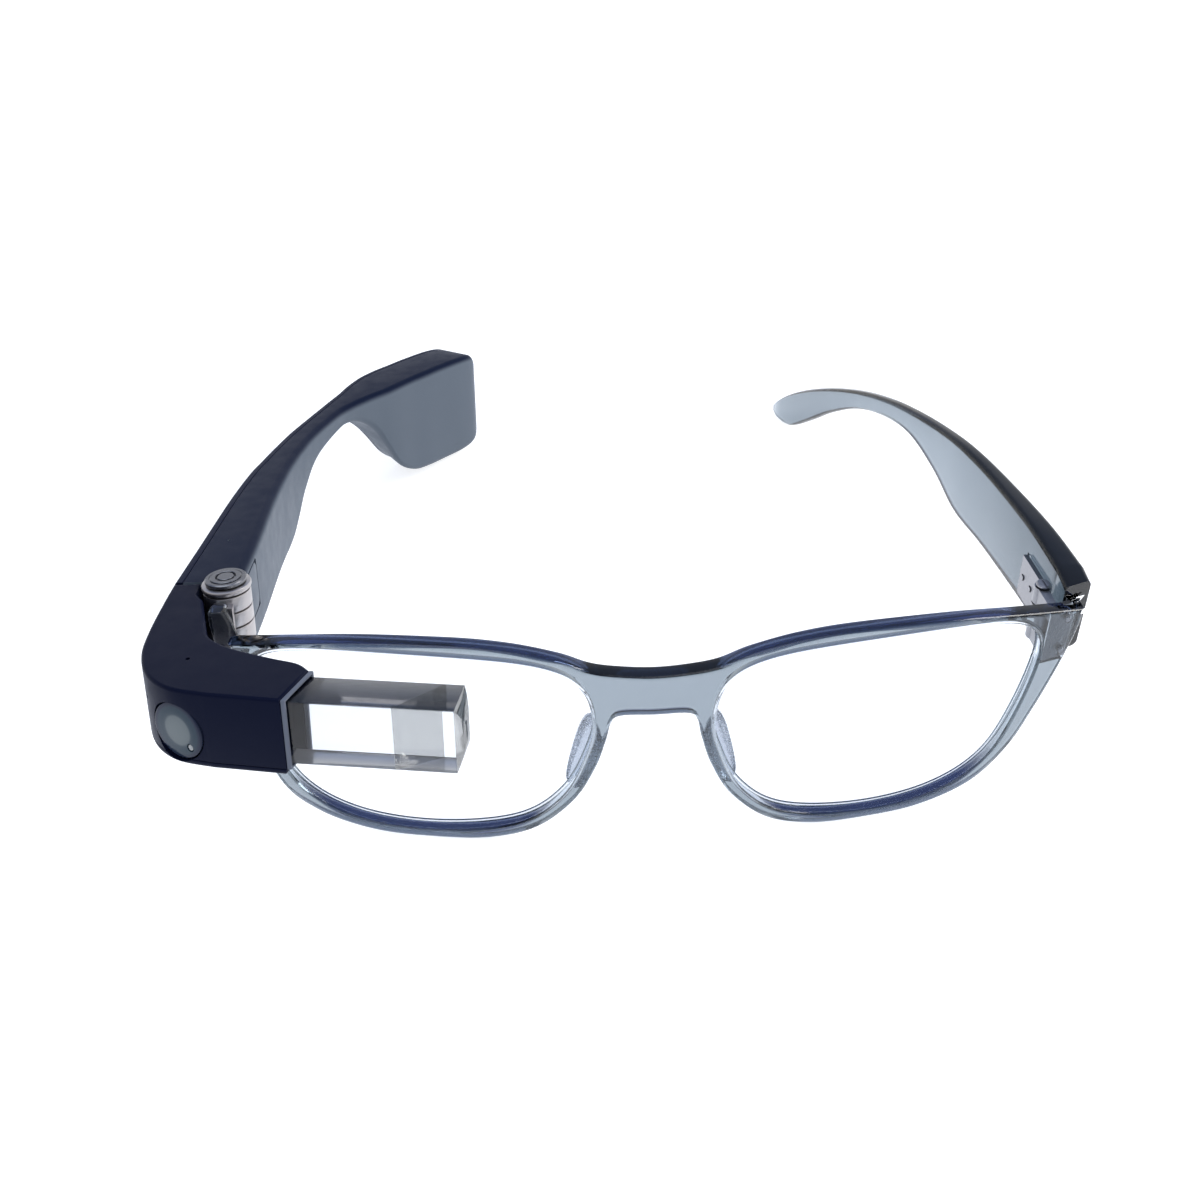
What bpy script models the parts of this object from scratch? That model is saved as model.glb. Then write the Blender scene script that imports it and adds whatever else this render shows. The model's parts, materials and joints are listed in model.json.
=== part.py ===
"""Smart glasses: a clear plastic spectacle front with one clear temple, and an electronics pod that
takes the place of the other temple and carries a glass display prism in front of the lens.

Lengths in this file are millimetres until a mesh is made, where MM turns them into metres.
World axes: +X is the wearer's left, -Y is the way the wearer looks, +Z is up. Everything is drawn
from the symmetry plane and the front face of the bridge, and stand_on_origin() then moves the whole
object so that the middle of its footprint is the origin. The pod is drawn in its own axes, which
sit on its fold hinge: +Y runs back along the arm and +Z runs up the hinge pin.
"""
import math

import bmesh
import bpy
from mathutils import Matrix, Vector

MM = 0.001
GAP = 0.3                    # clearance between pieces that touch
COLLECTION = "smart_glasses"

# --- Spectacle front -----------------------------------------------------------------------------
FRONT_DEPTH = 2.8            # front face to back face
WRAP_DEPTH = 10.7            # how far the front curves back at WRAP_HALF_WIDTH
WRAP_HALF_WIDTH = 70.0
PANTOSCOPIC_TILT = math.radians(2.6)
REST_LEVEL = -21.4           # the plane that the rims, the battery and the temple tip stand on
EDGE_ROUND = 0.45

# Lens opening and outer rim of the wearer's left half, as x and z in the front view.
OPENING = [(61.8, 8.0), (59.4, 13.6), (52.0, 16.3), (33.0, 16.9), (18.4, 15.7), (11.4, 11.9),
           (9.4, 5.0), (10.3, -1.5), (14.2, -10.8), (21.5, -17.2), (34.5, -19.7), (47.0, -18.6),
           (55.4, -13.6), (59.7, -4.0)]
RIM_TOP = [(5.4, 14.3), (9.6, 15.1), (14.3, 17.1), (21.8, 18.9), (31.0, 19.5), (45.6, 18.7),
           (60.0, 16.6)]
RIM_END = [(67.9, 15.2), (68.5, 14.7), (68.1, 11.0), (66.2, 4.0)]
RIM_BOTTOM = [(63.2, -4.4), (59.8, -11.8), (54.0, -18.0), (45.0, -21.0), (35.0, REST_LEVEL),
              (26.0, -20.8), (18.4, -18.0), (12.4, -11.9), (9.0, -4.9), (7.3, 1.0)]
BRIDGE_UNDERSIDE = [(6.5, 4.8), (5.0, 6.2)]
BRIDGE_TOP_HEIGHT = 13.9
BRIDGE_BOTTOM_HEIGHT = 6.2
POD_SIDE_END = [(62.2, 15.9), (63.4, 15.2), (63.8, 12.0), (63.8, 4.0)]
# Stations up the block that carries the pod's hinge: z, left x, right x, inset of the back.
LUG_STATIONS = [(10.2, -64.4, -61.4, 0.5), (11.0, -65.2, -61.2, 0.0), (13.5, -66.3, -62.2, 0.0),
                (16.0, -66.6, -62.9, 0.0), (19.6, -66.6, -63.8, 0.0), (20.6, -66.1, -64.3, 0.6)]
LUG_FRONT = 1.2              # front of that block, behind the front face
CURVE_STEPS = 4              # straight pieces between two outline points

LENS_THICKNESS = 1.4
LENS_TUCK = 0.35             # how far the lens edge stands in its groove
GROOVE_DEPTH = 0.65

# --- Wearer's left temple and its hinge ----------------------------------------------------------
# Stations along the temple: y, centre x, thickness, top z, bottom z.
TEMPLE_STATIONS = [(16.0, 68.4, 4.8, 18.8, 4.3), (28.0, 67.9, 4.2, 19.2, 3.8),
                   (44.0, 66.7, 3.4, 18.6, 3.2), (56.0, 65.2, 3.0, 17.9, 3.0),
                   (66.0, 63.7, 2.8, 16.4, 6.2), (77.0, 61.6, 2.8, 14.2, 8.4),
                   (88.0, 59.3, 2.8, 11.3, 6.8), (100.0, 56.5, 2.8, 7.1, 2.4),
                   (112.0, 53.5, 2.9, 1.7, -5.0), (123.0, 50.7, 3.0, -4.2, -13.4),
                   (132.0, 48.4, 3.0, -9.9, -19.6), (139.0, 46.6, 2.8, -15.2, REST_LEVEL),
                   (142.4, 45.7, 2.0, -18.4, -21.0)]
TEMPLE_ROUND = 1.1
LEAF_THICKNESS = 0.8
LEFT_HINGE_X = 64.2
LEFT_HINGE_Y = 15.6
LEFT_PIN_RADIUS = 0.65
LEFT_KNUCKLE_RADIUS = 1.35
LEFT_KNUCKLES = [(5.4, 8.4), (8.7, 12.1), (12.4, 15.4)]
LEFT_LEAF_X = (62.9, 67.0)   # the leaf let into the back of the front
LEFT_LEAF_Z = (5.4, 15.4)
TEMPLE_LEAF_AT = (65.4, 21.6, 10.4)
TEMPLE_LEAF_SIZE = (LEAF_THICKNESS, 8.5, 7.6)
RIVET_RADIUS = 0.45

# --- Pod: hinge, arm and battery, in the pod's own axes ------------------------------------------
POD_HINGE = (-65.15, 16.65, 22.2)
POD_LEAN = math.radians(9.0)
POD_TOP = -1.5               # flat top of the housing and the arm, below the hinge cap
HOUSING_BASE = -13.0         # underside of the housing, in front of HOUSING_SLOPE_Y
HOUSING_SLOPE_Y = (-17.0, 0.75)
HOUSING_DROP = 2.6           # how much lower the underside is where it meets the arm
SKIN = 1.0                   # thickness of the outer covers
# Stations along the arm: centre x, y, heading in degrees, width, top z, bottom z, and how much
# higher the bottom is on the outer side.
ARM_STATIONS = [(-3.15, 1.2, 0.0, 10.2, POD_TOP, -15.8, 0.0), (-3.4, 14.5, 0.0, 9.5, POD_TOP, -16.1, 0.0),
                (-4.0, 33.0, 0.0, 8.1, POD_TOP, -16.5, 0.0), (-3.9, 45.0, 1.0, 7.2, POD_TOP, -16.5, 0.0),
                (-3.5, 51.0, 2.5, 6.5, POD_TOP, -14.6, 0.0), (-2.9, 57.5, 4.5, 6.0, POD_TOP, -11.1, 0.0),
                (-1.6, 67.0, 9.0, 5.5, POD_TOP, -7.6, 0.0), (1.2, 79.0, 17.0, 5.5, -1.4, -5.8, 0.0),
                (3.0, 84.3, 23.5, 6.5, -1.3, -5.7, 0.0), (4.9, 88.5, 28.5, 8.0, -1.15, -7.4, 0.3),
                (6.5, 92.0, 32.0, 9.8, -1.0, -11.0, 1.5), (8.0, 94.9, 34.5, 11.3, -0.9, -16.5, 4.5),
                (9.6, 97.9, 36.0, 12.2, -0.75, -21.5, 6.0), (12.2, 102.2, 37.0, 12.5, -0.6, -24.1, 2.5),
                (15.0, 105.9, 37.0, 12.5, -0.45, -24.6, 0.0), (18.4, 110.6, 37.0, 12.5, -0.3, -24.7, 0.0),
                (23.0, 116.7, 37.0, 12.3, -0.3, -24.6, 0.0), (25.7, 120.2, 37.0, 11.0, -0.8, -23.8, 0.0),
                (27.3, 122.3, 37.0, 7.4, -2.5, -21.9, 0.0)]
TOUCHPAD_STATIONS = 8        # the touchpad cover spans this many stations, the battery cover the rest
ARM_ROUND = 1.7
HINGE_CLEARANCE_RADIUS = 4.1

CAP_RADIUS = 3.1
FLANGE_RADIUS = 3.7
KNUCKLE_RADIUS = 3.55
POD_PIN_RADIUS = 0.7
POD_LEAF_AT = (0.35, -4.25, -6.9)
POD_LEAF_SIZE = (3.0, LEAF_THICKNESS, 7.4)
POD_WEB_SIZE = (2.6, 2.4)    # bridge from the front's hinge leaf to its knuckles
POD_WEB_Y = -3.2
ARM_LEAF_AT = (0.5, 7.6, -7.0)
ARM_LEAF_SIZE = (LEAF_THICKNESS, 7.0, 7.6)
ARM_WEB_AT = (0.6, 2.6)      # bridge from the arm's hinge leaf to its knuckle
ARM_WEB_SIZE = (0.9, 4.6)
ARM_LEAF_POCKET_AT = (1.6, 7.6, -7.0)
ARM_LEAF_POCKET_SIZE = (3.8, 8.0, 8.4)
HINGE_COVER_AT = (1.46, 7.6, -7.0)
HINGE_COVER_SIZE = (0.5, 7.6, 8.1)
HINGE_COVER_YAW = math.radians(2.6)  # the arm's inner wall closes in towards the rear
BOARD_POCKET_AT = (-5.9, 27.5, -8.9)
BOARD_POCKET_SIZE = (5.6, 41.0, 10.6)
KNUCKLES = [(-4.75, -2.2), (-7.3, -5.0), (-10.6, -7.55)]

BATTERY_HEADING = math.radians(37.0)
BATTERY_AT = Vector((16.0, 109.4, -11.85))
# Boxes in the battery pod: size across, along and up, and place along, across and up.
BATTERY_POCKET = ((8.4, 20.5, 15.9), (1.25, 0.0, 0.0))
BATTERY_CELL = ((7.4, 17.2, 14.9), (2.3, 0.0, 0.0))
SPEAKER = ((4.0, 1.8, 7.0), (-7.7, -1.4, -3.35))
SOUND_SLIT = ((0.7, 14.0, 3.6), (-14.0, -1.4, -3.35))
USB_PORT = ((2.6, 8.9, 3.8), (4.0, 1.2, -10.45))
USB_MOUTH = ((1.6, 7.6, 3.0), (4.0, 1.2, -12.0))
USB_OPENING = ((3.2, 9.5, 6.1), (4.0, 1.2, -10.7))
NECK_STRIP_HEIGHT = -3.4
BUTTON_BASE = Vector((25.65, 120.2, -12.5))
BUTTON_AXIS = Vector((math.sin(BATTERY_HEADING), math.cos(BATTERY_HEADING), 0.0))
BUTTON_RADIUS = 1.6
BOARD_LEVEL = -9.2           # mid height of the parts stacked behind the touchpad

# --- Display housing and prism, in the pod's own axes --------------------------------------------
PRISM_YAW = math.radians(-9.4)
DISPLAY_PIVOT = (-5.6, 0.95)
DISPLAY_BARREL_RADIUS = 1.3
DISPLAY_PIN_RADIUS = 0.6
DISPLAY_BARREL = (-11.7, -3.2)
HOUSING_OUTLINE = [(-8.25, 0.75), (-8.05, -5.0), (-7.55, -13.0), (-6.6, -19.2), (-4.2, -24.6),
                   (-0.4, -28.2), (5.0, -30.1), (15.1, -32.2)]
HOUSING_BACK = [(17.56, -25.15), (15.6, -23.2), (11.6, -21.5), (6.3, -19.0), (3.0, -16.8),
                (0.9, -14.2), (-0.9, -9.0), (-2.3, -4.6)]
PRISM_HEIGHT = 9.35
PRISM_DEPTH = 6.1
PRISM_TOP = -2.15
PRISM_LENGTH = 23.8          # both glass blocks and the splitter between them
PRISM_TUCK = 2.0             # how far the glass reaches into the housing
PRISM_DOME = [(0.0, 1.0), (0.3, 0.98), (0.65, 0.82), (0.9, 0.52), (1.0, 0.2)]  # depth, share of width
SPLITTER_AT = 15.6           # where the splitter meets the front face
SPLITTER_RUN = 5.6           # how much further along it meets the back face
DISPLAY_PIECES = ["display_housing", "housing_base_cover", "camera_window", "camera_module",
                  "camera_board", "capture_led", "prism_inner_block", "prism_splitter",
                  "prism_outer_block", "prism_end_mirror", "prism_bezel", "display_engine",
                  "front_microphone", "side_microphone"]
PRISM_START = (14.36, -28.32)  # centre of the prism's section where it enters the housing
SPLITTER_THICKNESS = 0.3
HOUSING_END_ALONG = (1.38, 2.64)     # where the housing ends, along the prism's front and back faces
BEZEL_WIDTH = 0.55
BEZEL_THICKNESS = 0.5
MOUTH_CLEARANCE = 0.2        # air round the prism in the housing and the bezel

CAMERA_WINDOW_AT = (0.3, -27.85, -8.2)
CAMERA_WINDOW_YAW = math.radians(-30.0)
CAMERA_WINDOW_RADIUS = 4.3
LED_OFFSET = (2.0, -2.1)     # the recording light, across and above the camera's axis

part_collection = None
cutter_collection = None


# --- Scene, materials and small helpers ----------------------------------------------------------
def clear_scene():
    for item in list(bpy.data.objects):
        bpy.data.objects.remove(item, do_unlink=True)


def make_collections():
    global part_collection, cutter_collection
    part_collection = bpy.data.collections.new(COLLECTION)
    cutter_collection = bpy.data.collections.new(COLLECTION + "_cutters")
    bpy.context.scene.collection.children.link(part_collection)
    bpy.context.scene.collection.children.link(cutter_collection)


def material(name, colour, roughness, metallic=0.0, transmission=0.0):
    """Return the Principled material of this name, made on first use."""
    found = bpy.data.materials.get(name)
    if found:
        return found
    made = bpy.data.materials.new(name)
    made.use_nodes = True
    shader = made.node_tree.nodes["Principled BSDF"]
    shader.inputs["Base Color"].default_value = (*colour, 1.0)
    shader.inputs["Roughness"].default_value = roughness
    shader.inputs["Metallic"].default_value = metallic
    shader.inputs["Transmission Weight"].default_value = transmission
    made.diffuse_color = (*colour, 1.0)
    return made


def crystal_plastic():
    return material("crystal_plastic", (0.55, 0.60, 0.66), 0.08, transmission=0.8)


def pod_plastic():
    return material("pod_plastic", (0.02, 0.025, 0.06), 0.45)


def cover_plastic():
    return material("cover_plastic", (0.03, 0.035, 0.07), 0.38)


def hinge_steel():
    return material("hinge_steel", (0.62, 0.59, 0.57), 0.3, metallic=1.0)


def optical_glass():
    return material("optical_glass", (0.9, 0.92, 0.94), 0.02, transmission=1.0)


def lens_plastic():
    return material("lens_plastic", (0.95, 0.97, 0.98), 0.03, transmission=1.0)


def pad_silicone():
    return material("pad_silicone", (0.6, 0.65, 0.7), 0.35, transmission=0.6)


def board_laminate():
    return material("board_laminate", (0.02, 0.16, 0.09), 0.5)


def chip_black():
    return material("chip_black", (0.03, 0.03, 0.03), 0.5)


def battery_foil():
    return material("battery_foil", (0.55, 0.56, 0.58), 0.35, metallic=0.6)


def copper_flex():
    return material("copper_flex", (0.55, 0.28, 0.08), 0.4)


def window_glass():
    return material("window_glass", (0.12, 0.17, 0.21), 0.12)


def mirror_coat():
    return material("mirror_coat", (0.8, 0.82, 0.84), 0.05, metallic=1.0)


def led_lens():
    return material("led_lens", (0.8, 0.82, 0.85), 0.3)


def adopt(name, mesh, look, parent=None, location=(0, 0, 0), smooth_angle=35.0):
    """Put a mesh in the part collection as a named, finished sub-part."""
    item = bpy.data.objects.new(name, mesh)
    part_collection.objects.link(item)
    mesh.materials.clear()
    mesh.materials.append(look)
    mesh.shade_smooth()
    mesh.set_sharp_from_angle(angle=math.radians(smooth_angle))
    item.location = [value * MM for value in location]
    item.parent = parent
    return item


def empty(name, location, rotation=(0, 0, 0), parent=None):
    made = bpy.data.objects.new(name, None)
    part_collection.objects.link(made)
    made.location = [value * MM for value in location]
    made.rotation_euler = rotation
    made.parent = parent
    return made


def hang_on(frame, *items):
    """Parent finished items to an empty that has no turn of its own, without moving them."""
    for item in items:
        item.parent = frame
        item.matrix_parent_inverse = Matrix.Translation(-frame.location)


def as_cutter(item):
    item.hide_render = True
    item.display_type = "WIRE"
    for collection in list(item.users_collection):
        collection.objects.unlink(item)
    cutter_collection.objects.link(item)
    return item


def boolean(item, other, operation, solver="EXACT"):
    change = item.modifiers.new(operation.lower(), "BOOLEAN")
    change.operation = operation
    change.solver = solver
    change.object = as_cutter(other)
    return item


def cut(item, *cutters, solver="EXACT"):
    for cutter in cutters:
        boolean(item, cutter, "DIFFERENCE", solver)
    return item


def weld_on(item, *others):
    """Join other solids to an item, so that it stays one body."""
    for other in others:
        boolean(item, other, "UNION")
    return item


def bevel(item, width, segments=1, angle=40.0):
    change = item.modifiers.new("edge_round", "BEVEL")
    change.width = width * MM
    change.segments = segments
    change.limit_method = "ANGLE"
    change.angle_limit = math.radians(angle)
    return item


def finish_bmesh(shape, name):
    bmesh.ops.recalc_face_normals(shape, faces=shape.faces)
    if shape.calc_volume(signed=True) < 0:
        bmesh.ops.reverse_faces(shape, faces=shape.faces)
    mesh = bpy.data.meshes.new(name)
    shape.to_mesh(mesh)
    shape.free()
    return mesh


def box(name, size, centre, look, parent=None, yaw=0.0):
    """A block of this size, turned by yaw about its own upright axis."""
    shape = bmesh.new()
    bmesh.ops.create_cube(shape, size=1.0)
    bmesh.ops.scale(shape, vec=[value * MM for value in size], verts=shape.verts)
    item = adopt(name, finish_bmesh(shape, name), look, parent, centre)
    item.rotation_euler[2] = yaw
    return item


def rod(name, radius, start, end, look, parent=None, sides=24):
    """A round bar between two points."""
    start = Vector(start)
    end = Vector(end)
    shape = bmesh.new()
    bmesh.ops.create_cone(shape, cap_ends=True, segments=sides, radius1=radius * MM,
                          radius2=radius * MM, depth=(end - start).length * MM)
    item = adopt(name, finish_bmesh(shape, name), look, parent, (start + end) / 2)
    item.rotation_mode = "QUATERNION"
    item.rotation_quaternion = (end - start).to_track_quat("Z", "Y")
    return item


def turned(name, profile, look, parent=None, location=(0, 0, 0), steps=32):
    """Spin a profile of (radius, height) points, listed from the top down, about its own Z."""
    shape = bmesh.new()
    ring = [shape.verts.new((radius * MM, 0, height * MM)) for radius, height in profile]
    for upper, lower in zip(ring, ring[1:]):
        shape.edges.new((upper, lower))
    mesh = bpy.data.meshes.new(name)
    shape.to_mesh(mesh)
    shape.free()
    item = adopt(name, mesh, look, parent, location)
    spin = item.modifiers.new("spin", "SCREW")
    spin.steps = steps
    spin.render_steps = steps
    spin.use_merge_vertices = True
    spin.merge_threshold = 0.00001
    return item


def loft(name, rings, look, parent=None):
    """Skin a row of equal closed rings and cap both ends."""
    shape = bmesh.new()
    rows = [[shape.verts.new([value * MM for value in point]) for point in ring] for ring in rings]
    count = len(rows[0])
    for near, far in zip(rows, rows[1:]):
        for i in range(count):
            j = (i + 1) % count
            shape.faces.new((near[i], near[j], far[j], far[i]))
    shape.faces.new(rows[0])
    shape.faces.new(list(reversed(rows[-1])))
    return adopt(name, finish_bmesh(shape, name), look, parent)


def smooth_path(points, closed=False, steps=CURVE_STEPS):
    """Catmull-Rom curve through points of any dimension."""
    count = len(points)
    path = []
    for i in range(count if closed else count - 1):
        if closed:
            around = [points[(i + k) % count] for k in (-1, 0, 1, 2)]
        else:
            around = [points[min(max(i + k, 0), count - 1)] for k in (-1, 0, 1, 2)]
        for step in range(steps):
            t = step / steps
            path.append(tuple(catmull_rom(values, t) for values in zip(*around)))
    if not closed:
        path.append(tuple(points[-1]))
    return path


def catmull_rom(values, t):
    before, start, end, after = values
    return 0.5 * (2 * start + (end - before) * t
                  + (2 * before - 5 * start + 4 * end - after) * t ** 2
                  + (3 * start - before - 3 * end + after) * t ** 3)


def offset_outline(points, distance):
    """Move a closed outline outwards by a distance, along its normals."""
    count = len(points)
    area = sum(points[i][0] * points[(i + 1) % count][1] - points[(i + 1) % count][0] * points[i][1]
               for i in range(count))
    side = 1 if area > 0 else -1
    moved = []
    for i, (x, z) in enumerate(points):
        ahead = points[(i + 1) % count]
        behind = points[i - 1]
        along = Vector((ahead[0] - behind[0], ahead[1] - behind[1])).normalized()
        moved.append((x + along.y * distance * side, z - along.x * distance * side))
    return moved


def filled_outline(outlines, half_thickness):
    """Mesh of a flat plate with these closed outlines, drawn in XY and extruded along Z."""
    curve = bpy.data.curves.new("outline", "CURVE")
    curve.dimensions = "2D"
    curve.fill_mode = "BOTH"
    curve.extrude = half_thickness * MM
    for outline in outlines:
        spline = curve.splines.new("POLY")
        spline.points.add(len(outline) - 1)
        for point, (x, y) in zip(spline.points, outline):
            point.co = (x * MM, y * MM, 0, 1)
        spline.use_cyclic_u = True
    holder = bpy.data.objects.new("outline", curve)
    bpy.context.scene.collection.objects.link(holder)
    depsgraph = bpy.context.evaluated_depsgraph_get()
    mesh = bpy.data.meshes.new_from_object(holder.evaluated_get(depsgraph))
    bpy.data.objects.remove(holder, do_unlink=True)
    return mesh


def plate(name, outlines, bottom, top, look, parent=None):
    """A flat plate with upright sides between two heights."""
    mesh = filled_outline(outlines, (top - bottom) / 2)
    shape = bmesh.new()
    shape.from_mesh(mesh)
    bmesh.ops.remove_doubles(shape, verts=shape.verts, dist=0.000001)
    bmesh.ops.translate(shape, vec=(0, 0, (top + bottom) / 2 * MM), verts=shape.verts)
    return adopt(name, finish_bmesh(shape, name), look, parent)


# --- Spectacle front -----------------------------------------------------------------------------
def front_face(x, z):
    """World y of the front's front face."""
    return WRAP_DEPTH * (x / WRAP_HALF_WIDTH) ** 2 - z * math.tan(PANTOSCOPIC_TILT)


def curved_plate(name, outlines, front_offset, thickness, look):
    """A plate that follows the wrap of the front, front_offset behind its front face."""
    mesh = filled_outline(outlines, thickness / 2)
    shape = bmesh.new()
    shape.from_mesh(mesh)
    bmesh.ops.remove_doubles(shape, verts=shape.verts, dist=0.000001)
    for vert in shape.verts:
        x, z, depth = vert.co / MM
        y = front_face(x, z) + front_offset + thickness / 2 + depth
        vert.co = Vector((x, y, z)) * MM
    return adopt(name, finish_bmesh(shape, name), look)


def mirrored(points):
    return [(-x, z) for x, z in reversed(points)]


def front_outline():
    """Closed outer outline, from the bridge top towards the wearer's left and round."""
    left_half = RIM_TOP + RIM_END + RIM_BOTTOM + BRIDGE_UNDERSIDE
    right_half = RIM_TOP[:-1] + POD_SIDE_END + RIM_BOTTOM[1:] + BRIDGE_UNDERSIDE
    points = [(0.0, BRIDGE_TOP_HEIGHT)] + left_half + [(0.0, BRIDGE_BOTTOM_HEIGHT)]
    return smooth_path(points + mirrored(right_half), closed=True)


def lens_opening(side):
    """Opening of one eye; side is +1 for the wearer's left."""
    return [(side * x, z) for x, z in smooth_path(OPENING, closed=True)]


def build_front(pod):
    outlines = [front_outline(), lens_opening(1), lens_opening(-1)]
    frame = curved_plate("front_frame", outlines, 0.0, FRONT_DEPTH, crystal_plastic())
    bevel(frame, EDGE_ROUND)
    weld_on(frame, pod_side_lug())
    groove_width = LENS_THICKNESS + 2 * GAP
    for side, word in ((1, "left"), (-1, "right")):
        opening = lens_opening(side)
        groove = curved_plate("groove_" + word, [offset_outline(opening, GROOVE_DEPTH)],
                              (FRONT_DEPTH - groove_width) / 2, groove_width, crystal_plastic())
        cut(frame, groove, solver="MANIFOLD")
        curved_plate("lens_" + word, [offset_outline(opening, LENS_TUCK)],
                     (FRONT_DEPTH - LENS_THICKNESS) / 2, LENS_THICKNESS, lens_plastic())
    cut(frame, left_leaf_pocket(), solver="MANIFOLD")
    leaf_x, leaf_y, leaf_z = POD_LEAF_SIZE
    cut(frame, box("pod_leaf_pocket", (leaf_x + 2.6, leaf_y + 2 * GAP, leaf_z + 2 * GAP), POD_LEAF_AT,
                   crystal_plastic(), pod), solver="MANIFOLD")
    for side, word in ((1, "left"), (-1, "right")):
        build_nose_pad(side, word)


def pod_side_lug():
    """The clear block behind the pod-side end of the front, which carries the pod's hinge."""
    rings = []
    for z, left, right, inset in LUG_STATIONS:
        back = pod_plane_y(POD_LEAF_AT[1] + LEAF_THICKNESS / 2, z) - inset
        rings.append([(left, front_face(left, z) + LUG_FRONT, z),
                      (right, front_face(right, z) + LUG_FRONT, z), (right, back, z), (left, back, z)])
    return loft("pod_side_lug", rings, crystal_plastic())


def pod_plane_y(local_y, z):
    """World y, at height z, of the plane that stands local_y behind the pod's hinge line."""
    rise = (z - POD_HINGE[2]) * math.sin(POD_LEAN)
    return POD_HINGE[1] + (local_y + rise) / math.cos(POD_LEAN)


def build_nose_pad(side, word):
    """A soft teardrop pad bonded behind the nasal rim."""
    rings = []
    for step in range(9):
        t = -1.0 + 2.0 * step / 8
        z = -3.6 + 7.2 * t
        bulge = math.sqrt(max(1.0 - (0.97 * t) ** 2, 0.0))
        half_width = 0.5 + 1.7 * bulge
        depth = 0.5 + 2.6 * bulge
        centre_x = 10.4 + 0.11 * (z + 3.6) ** 2 / 7.2 - 0.22 * (z + 3.6)
        ring = []
        for k in range(9):
            angle = math.pi * k / 8
            x = centre_x + half_width * math.cos(angle)
            y = front_face(x, z) + FRONT_DEPTH + GAP + depth * math.sin(angle)
            ring.append((side * x, y, z))
        rings.append(ring)
    loft("nose_pad_" + word, rings, pad_silicone())


# --- Wearer's left hinge and temple --------------------------------------------------------------
def back_face(x, z):
    return front_face(x, z) + FRONT_DEPTH


def left_leaf_pocket():
    """Recess in the back of the front for the left hinge's fixed leaf."""
    x0, x1 = LEFT_LEAF_X
    z0, z1 = LEFT_LEAF_Z
    rings = []
    for z in (z0 - GAP, z1 + GAP):
        rings.append([(x0 - GAP, back_face(x0, z) - LEAF_THICKNESS - GAP, z),
                      (x1 + GAP, back_face(x1, z) - LEAF_THICKNESS - GAP, z),
                      (x1 + GAP, back_face(x1, z) + 1.0, z),
                      (x0 - GAP, back_face(x0, z) + 1.0, z)])
    return loft("leaf_pocket", rings, crystal_plastic())


def left_knuckle(name, bottom, top):
    return rod(name, LEFT_KNUCKLE_RADIUS, (LEFT_HINGE_X, LEFT_HINGE_Y, bottom),
               (LEFT_HINGE_X, LEFT_HINGE_Y, top), hinge_steel())


def pin_bore(name, x, y, bottom, top, pin_radius, parent=None):
    return rod(name, pin_radius + GAP / 2, (x, y, bottom), (x, y, top), hinge_steel(), parent)


def build_left_hinge(temple_frame):
    """Three-knuckle steel hinge: two knuckles on the front, one on the temple."""
    x0, x1 = LEFT_LEAF_X
    rings = []
    for z in LEFT_LEAF_Z:
        rings.append([(x0, back_face(x0, z) - LEAF_THICKNESS, z),
                      (x1, back_face(x1, z) - LEAF_THICKNESS, z),
                      (x1, back_face(x1, z), z), (x0, back_face(x0, z), z)])
    leaf = loft("left_hinge_frame_leaf", rings, hinge_steel())
    for number, (bottom, top) in ((1, LEFT_KNUCKLES[0]), (2, LEFT_KNUCKLES[2])):
        web = box("leaf_web_%d" % number, (1.5, 4.2, top - bottom),
                  (LEFT_HINGE_X - 0.3, 13.3, (top + bottom) / 2), hinge_steel())
        weld_on(leaf, web, left_knuckle("leaf_knuckle_%d" % number, bottom, top))
    cut(leaf, pin_bore("leaf_bore", LEFT_HINGE_X, LEFT_HINGE_Y, 4.0, 17.0, LEFT_PIN_RADIUS))

    bottom, top = LEFT_KNUCKLES[1]
    temple_leaf = box("left_hinge_temple_leaf", TEMPLE_LEAF_SIZE, TEMPLE_LEAF_AT, hinge_steel())
    web = box("temple_web", (1.4, 4.0, top - bottom),
              (LEFT_HINGE_X + 0.9, 17.2, (top + bottom) / 2), hinge_steel())
    weld_on(temple_leaf, web, left_knuckle("temple_knuckle", bottom, top))
    cut(temple_leaf, pin_bore("temple_bore", LEFT_HINGE_X, LEFT_HINGE_Y, 7.0, 14.0, LEFT_PIN_RADIUS))
    hang_on(temple_frame, temple_leaf)

    pin = turned("left_hinge_screw", [(0, 16.1), (1.0, 16.1), (1.15, 15.9), (1.15, 15.65),
                                      (LEFT_PIN_RADIUS, 15.65), (LEFT_PIN_RADIUS, 5.6), (0, 5.4)],
                 hinge_steel(), None, (LEFT_HINGE_X, LEFT_HINGE_Y, 0), steps=16)
    slot = box("screw_slot", (0.35, 3.0, 0.5), (LEFT_HINGE_X, LEFT_HINGE_Y, 16.1), hinge_steel())
    cut(pin, slot)


def front_rivet(name, z, radius, back_overhang):
    """Bar through the fixed leaf into the front, square to the front's back face."""
    x = sum(LEFT_LEAF_X) / 2 + 1.0
    y = back_face(x, z)
    return rod(name, radius, (x, y - 2.0, z), (x, y + back_overhang, z), hinge_steel(), sides=12)


def temple_rivet(name, y, radius, inner_overhang):
    """Bar through the moving leaf into the temple."""
    x = TEMPLE_LEAF_AT[0]
    z = TEMPLE_LEAF_AT[2]
    return rod(name, radius, (x - inner_overhang, y, z), (x + 3.0, y, z), hinge_steel(), sides=12)


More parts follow.
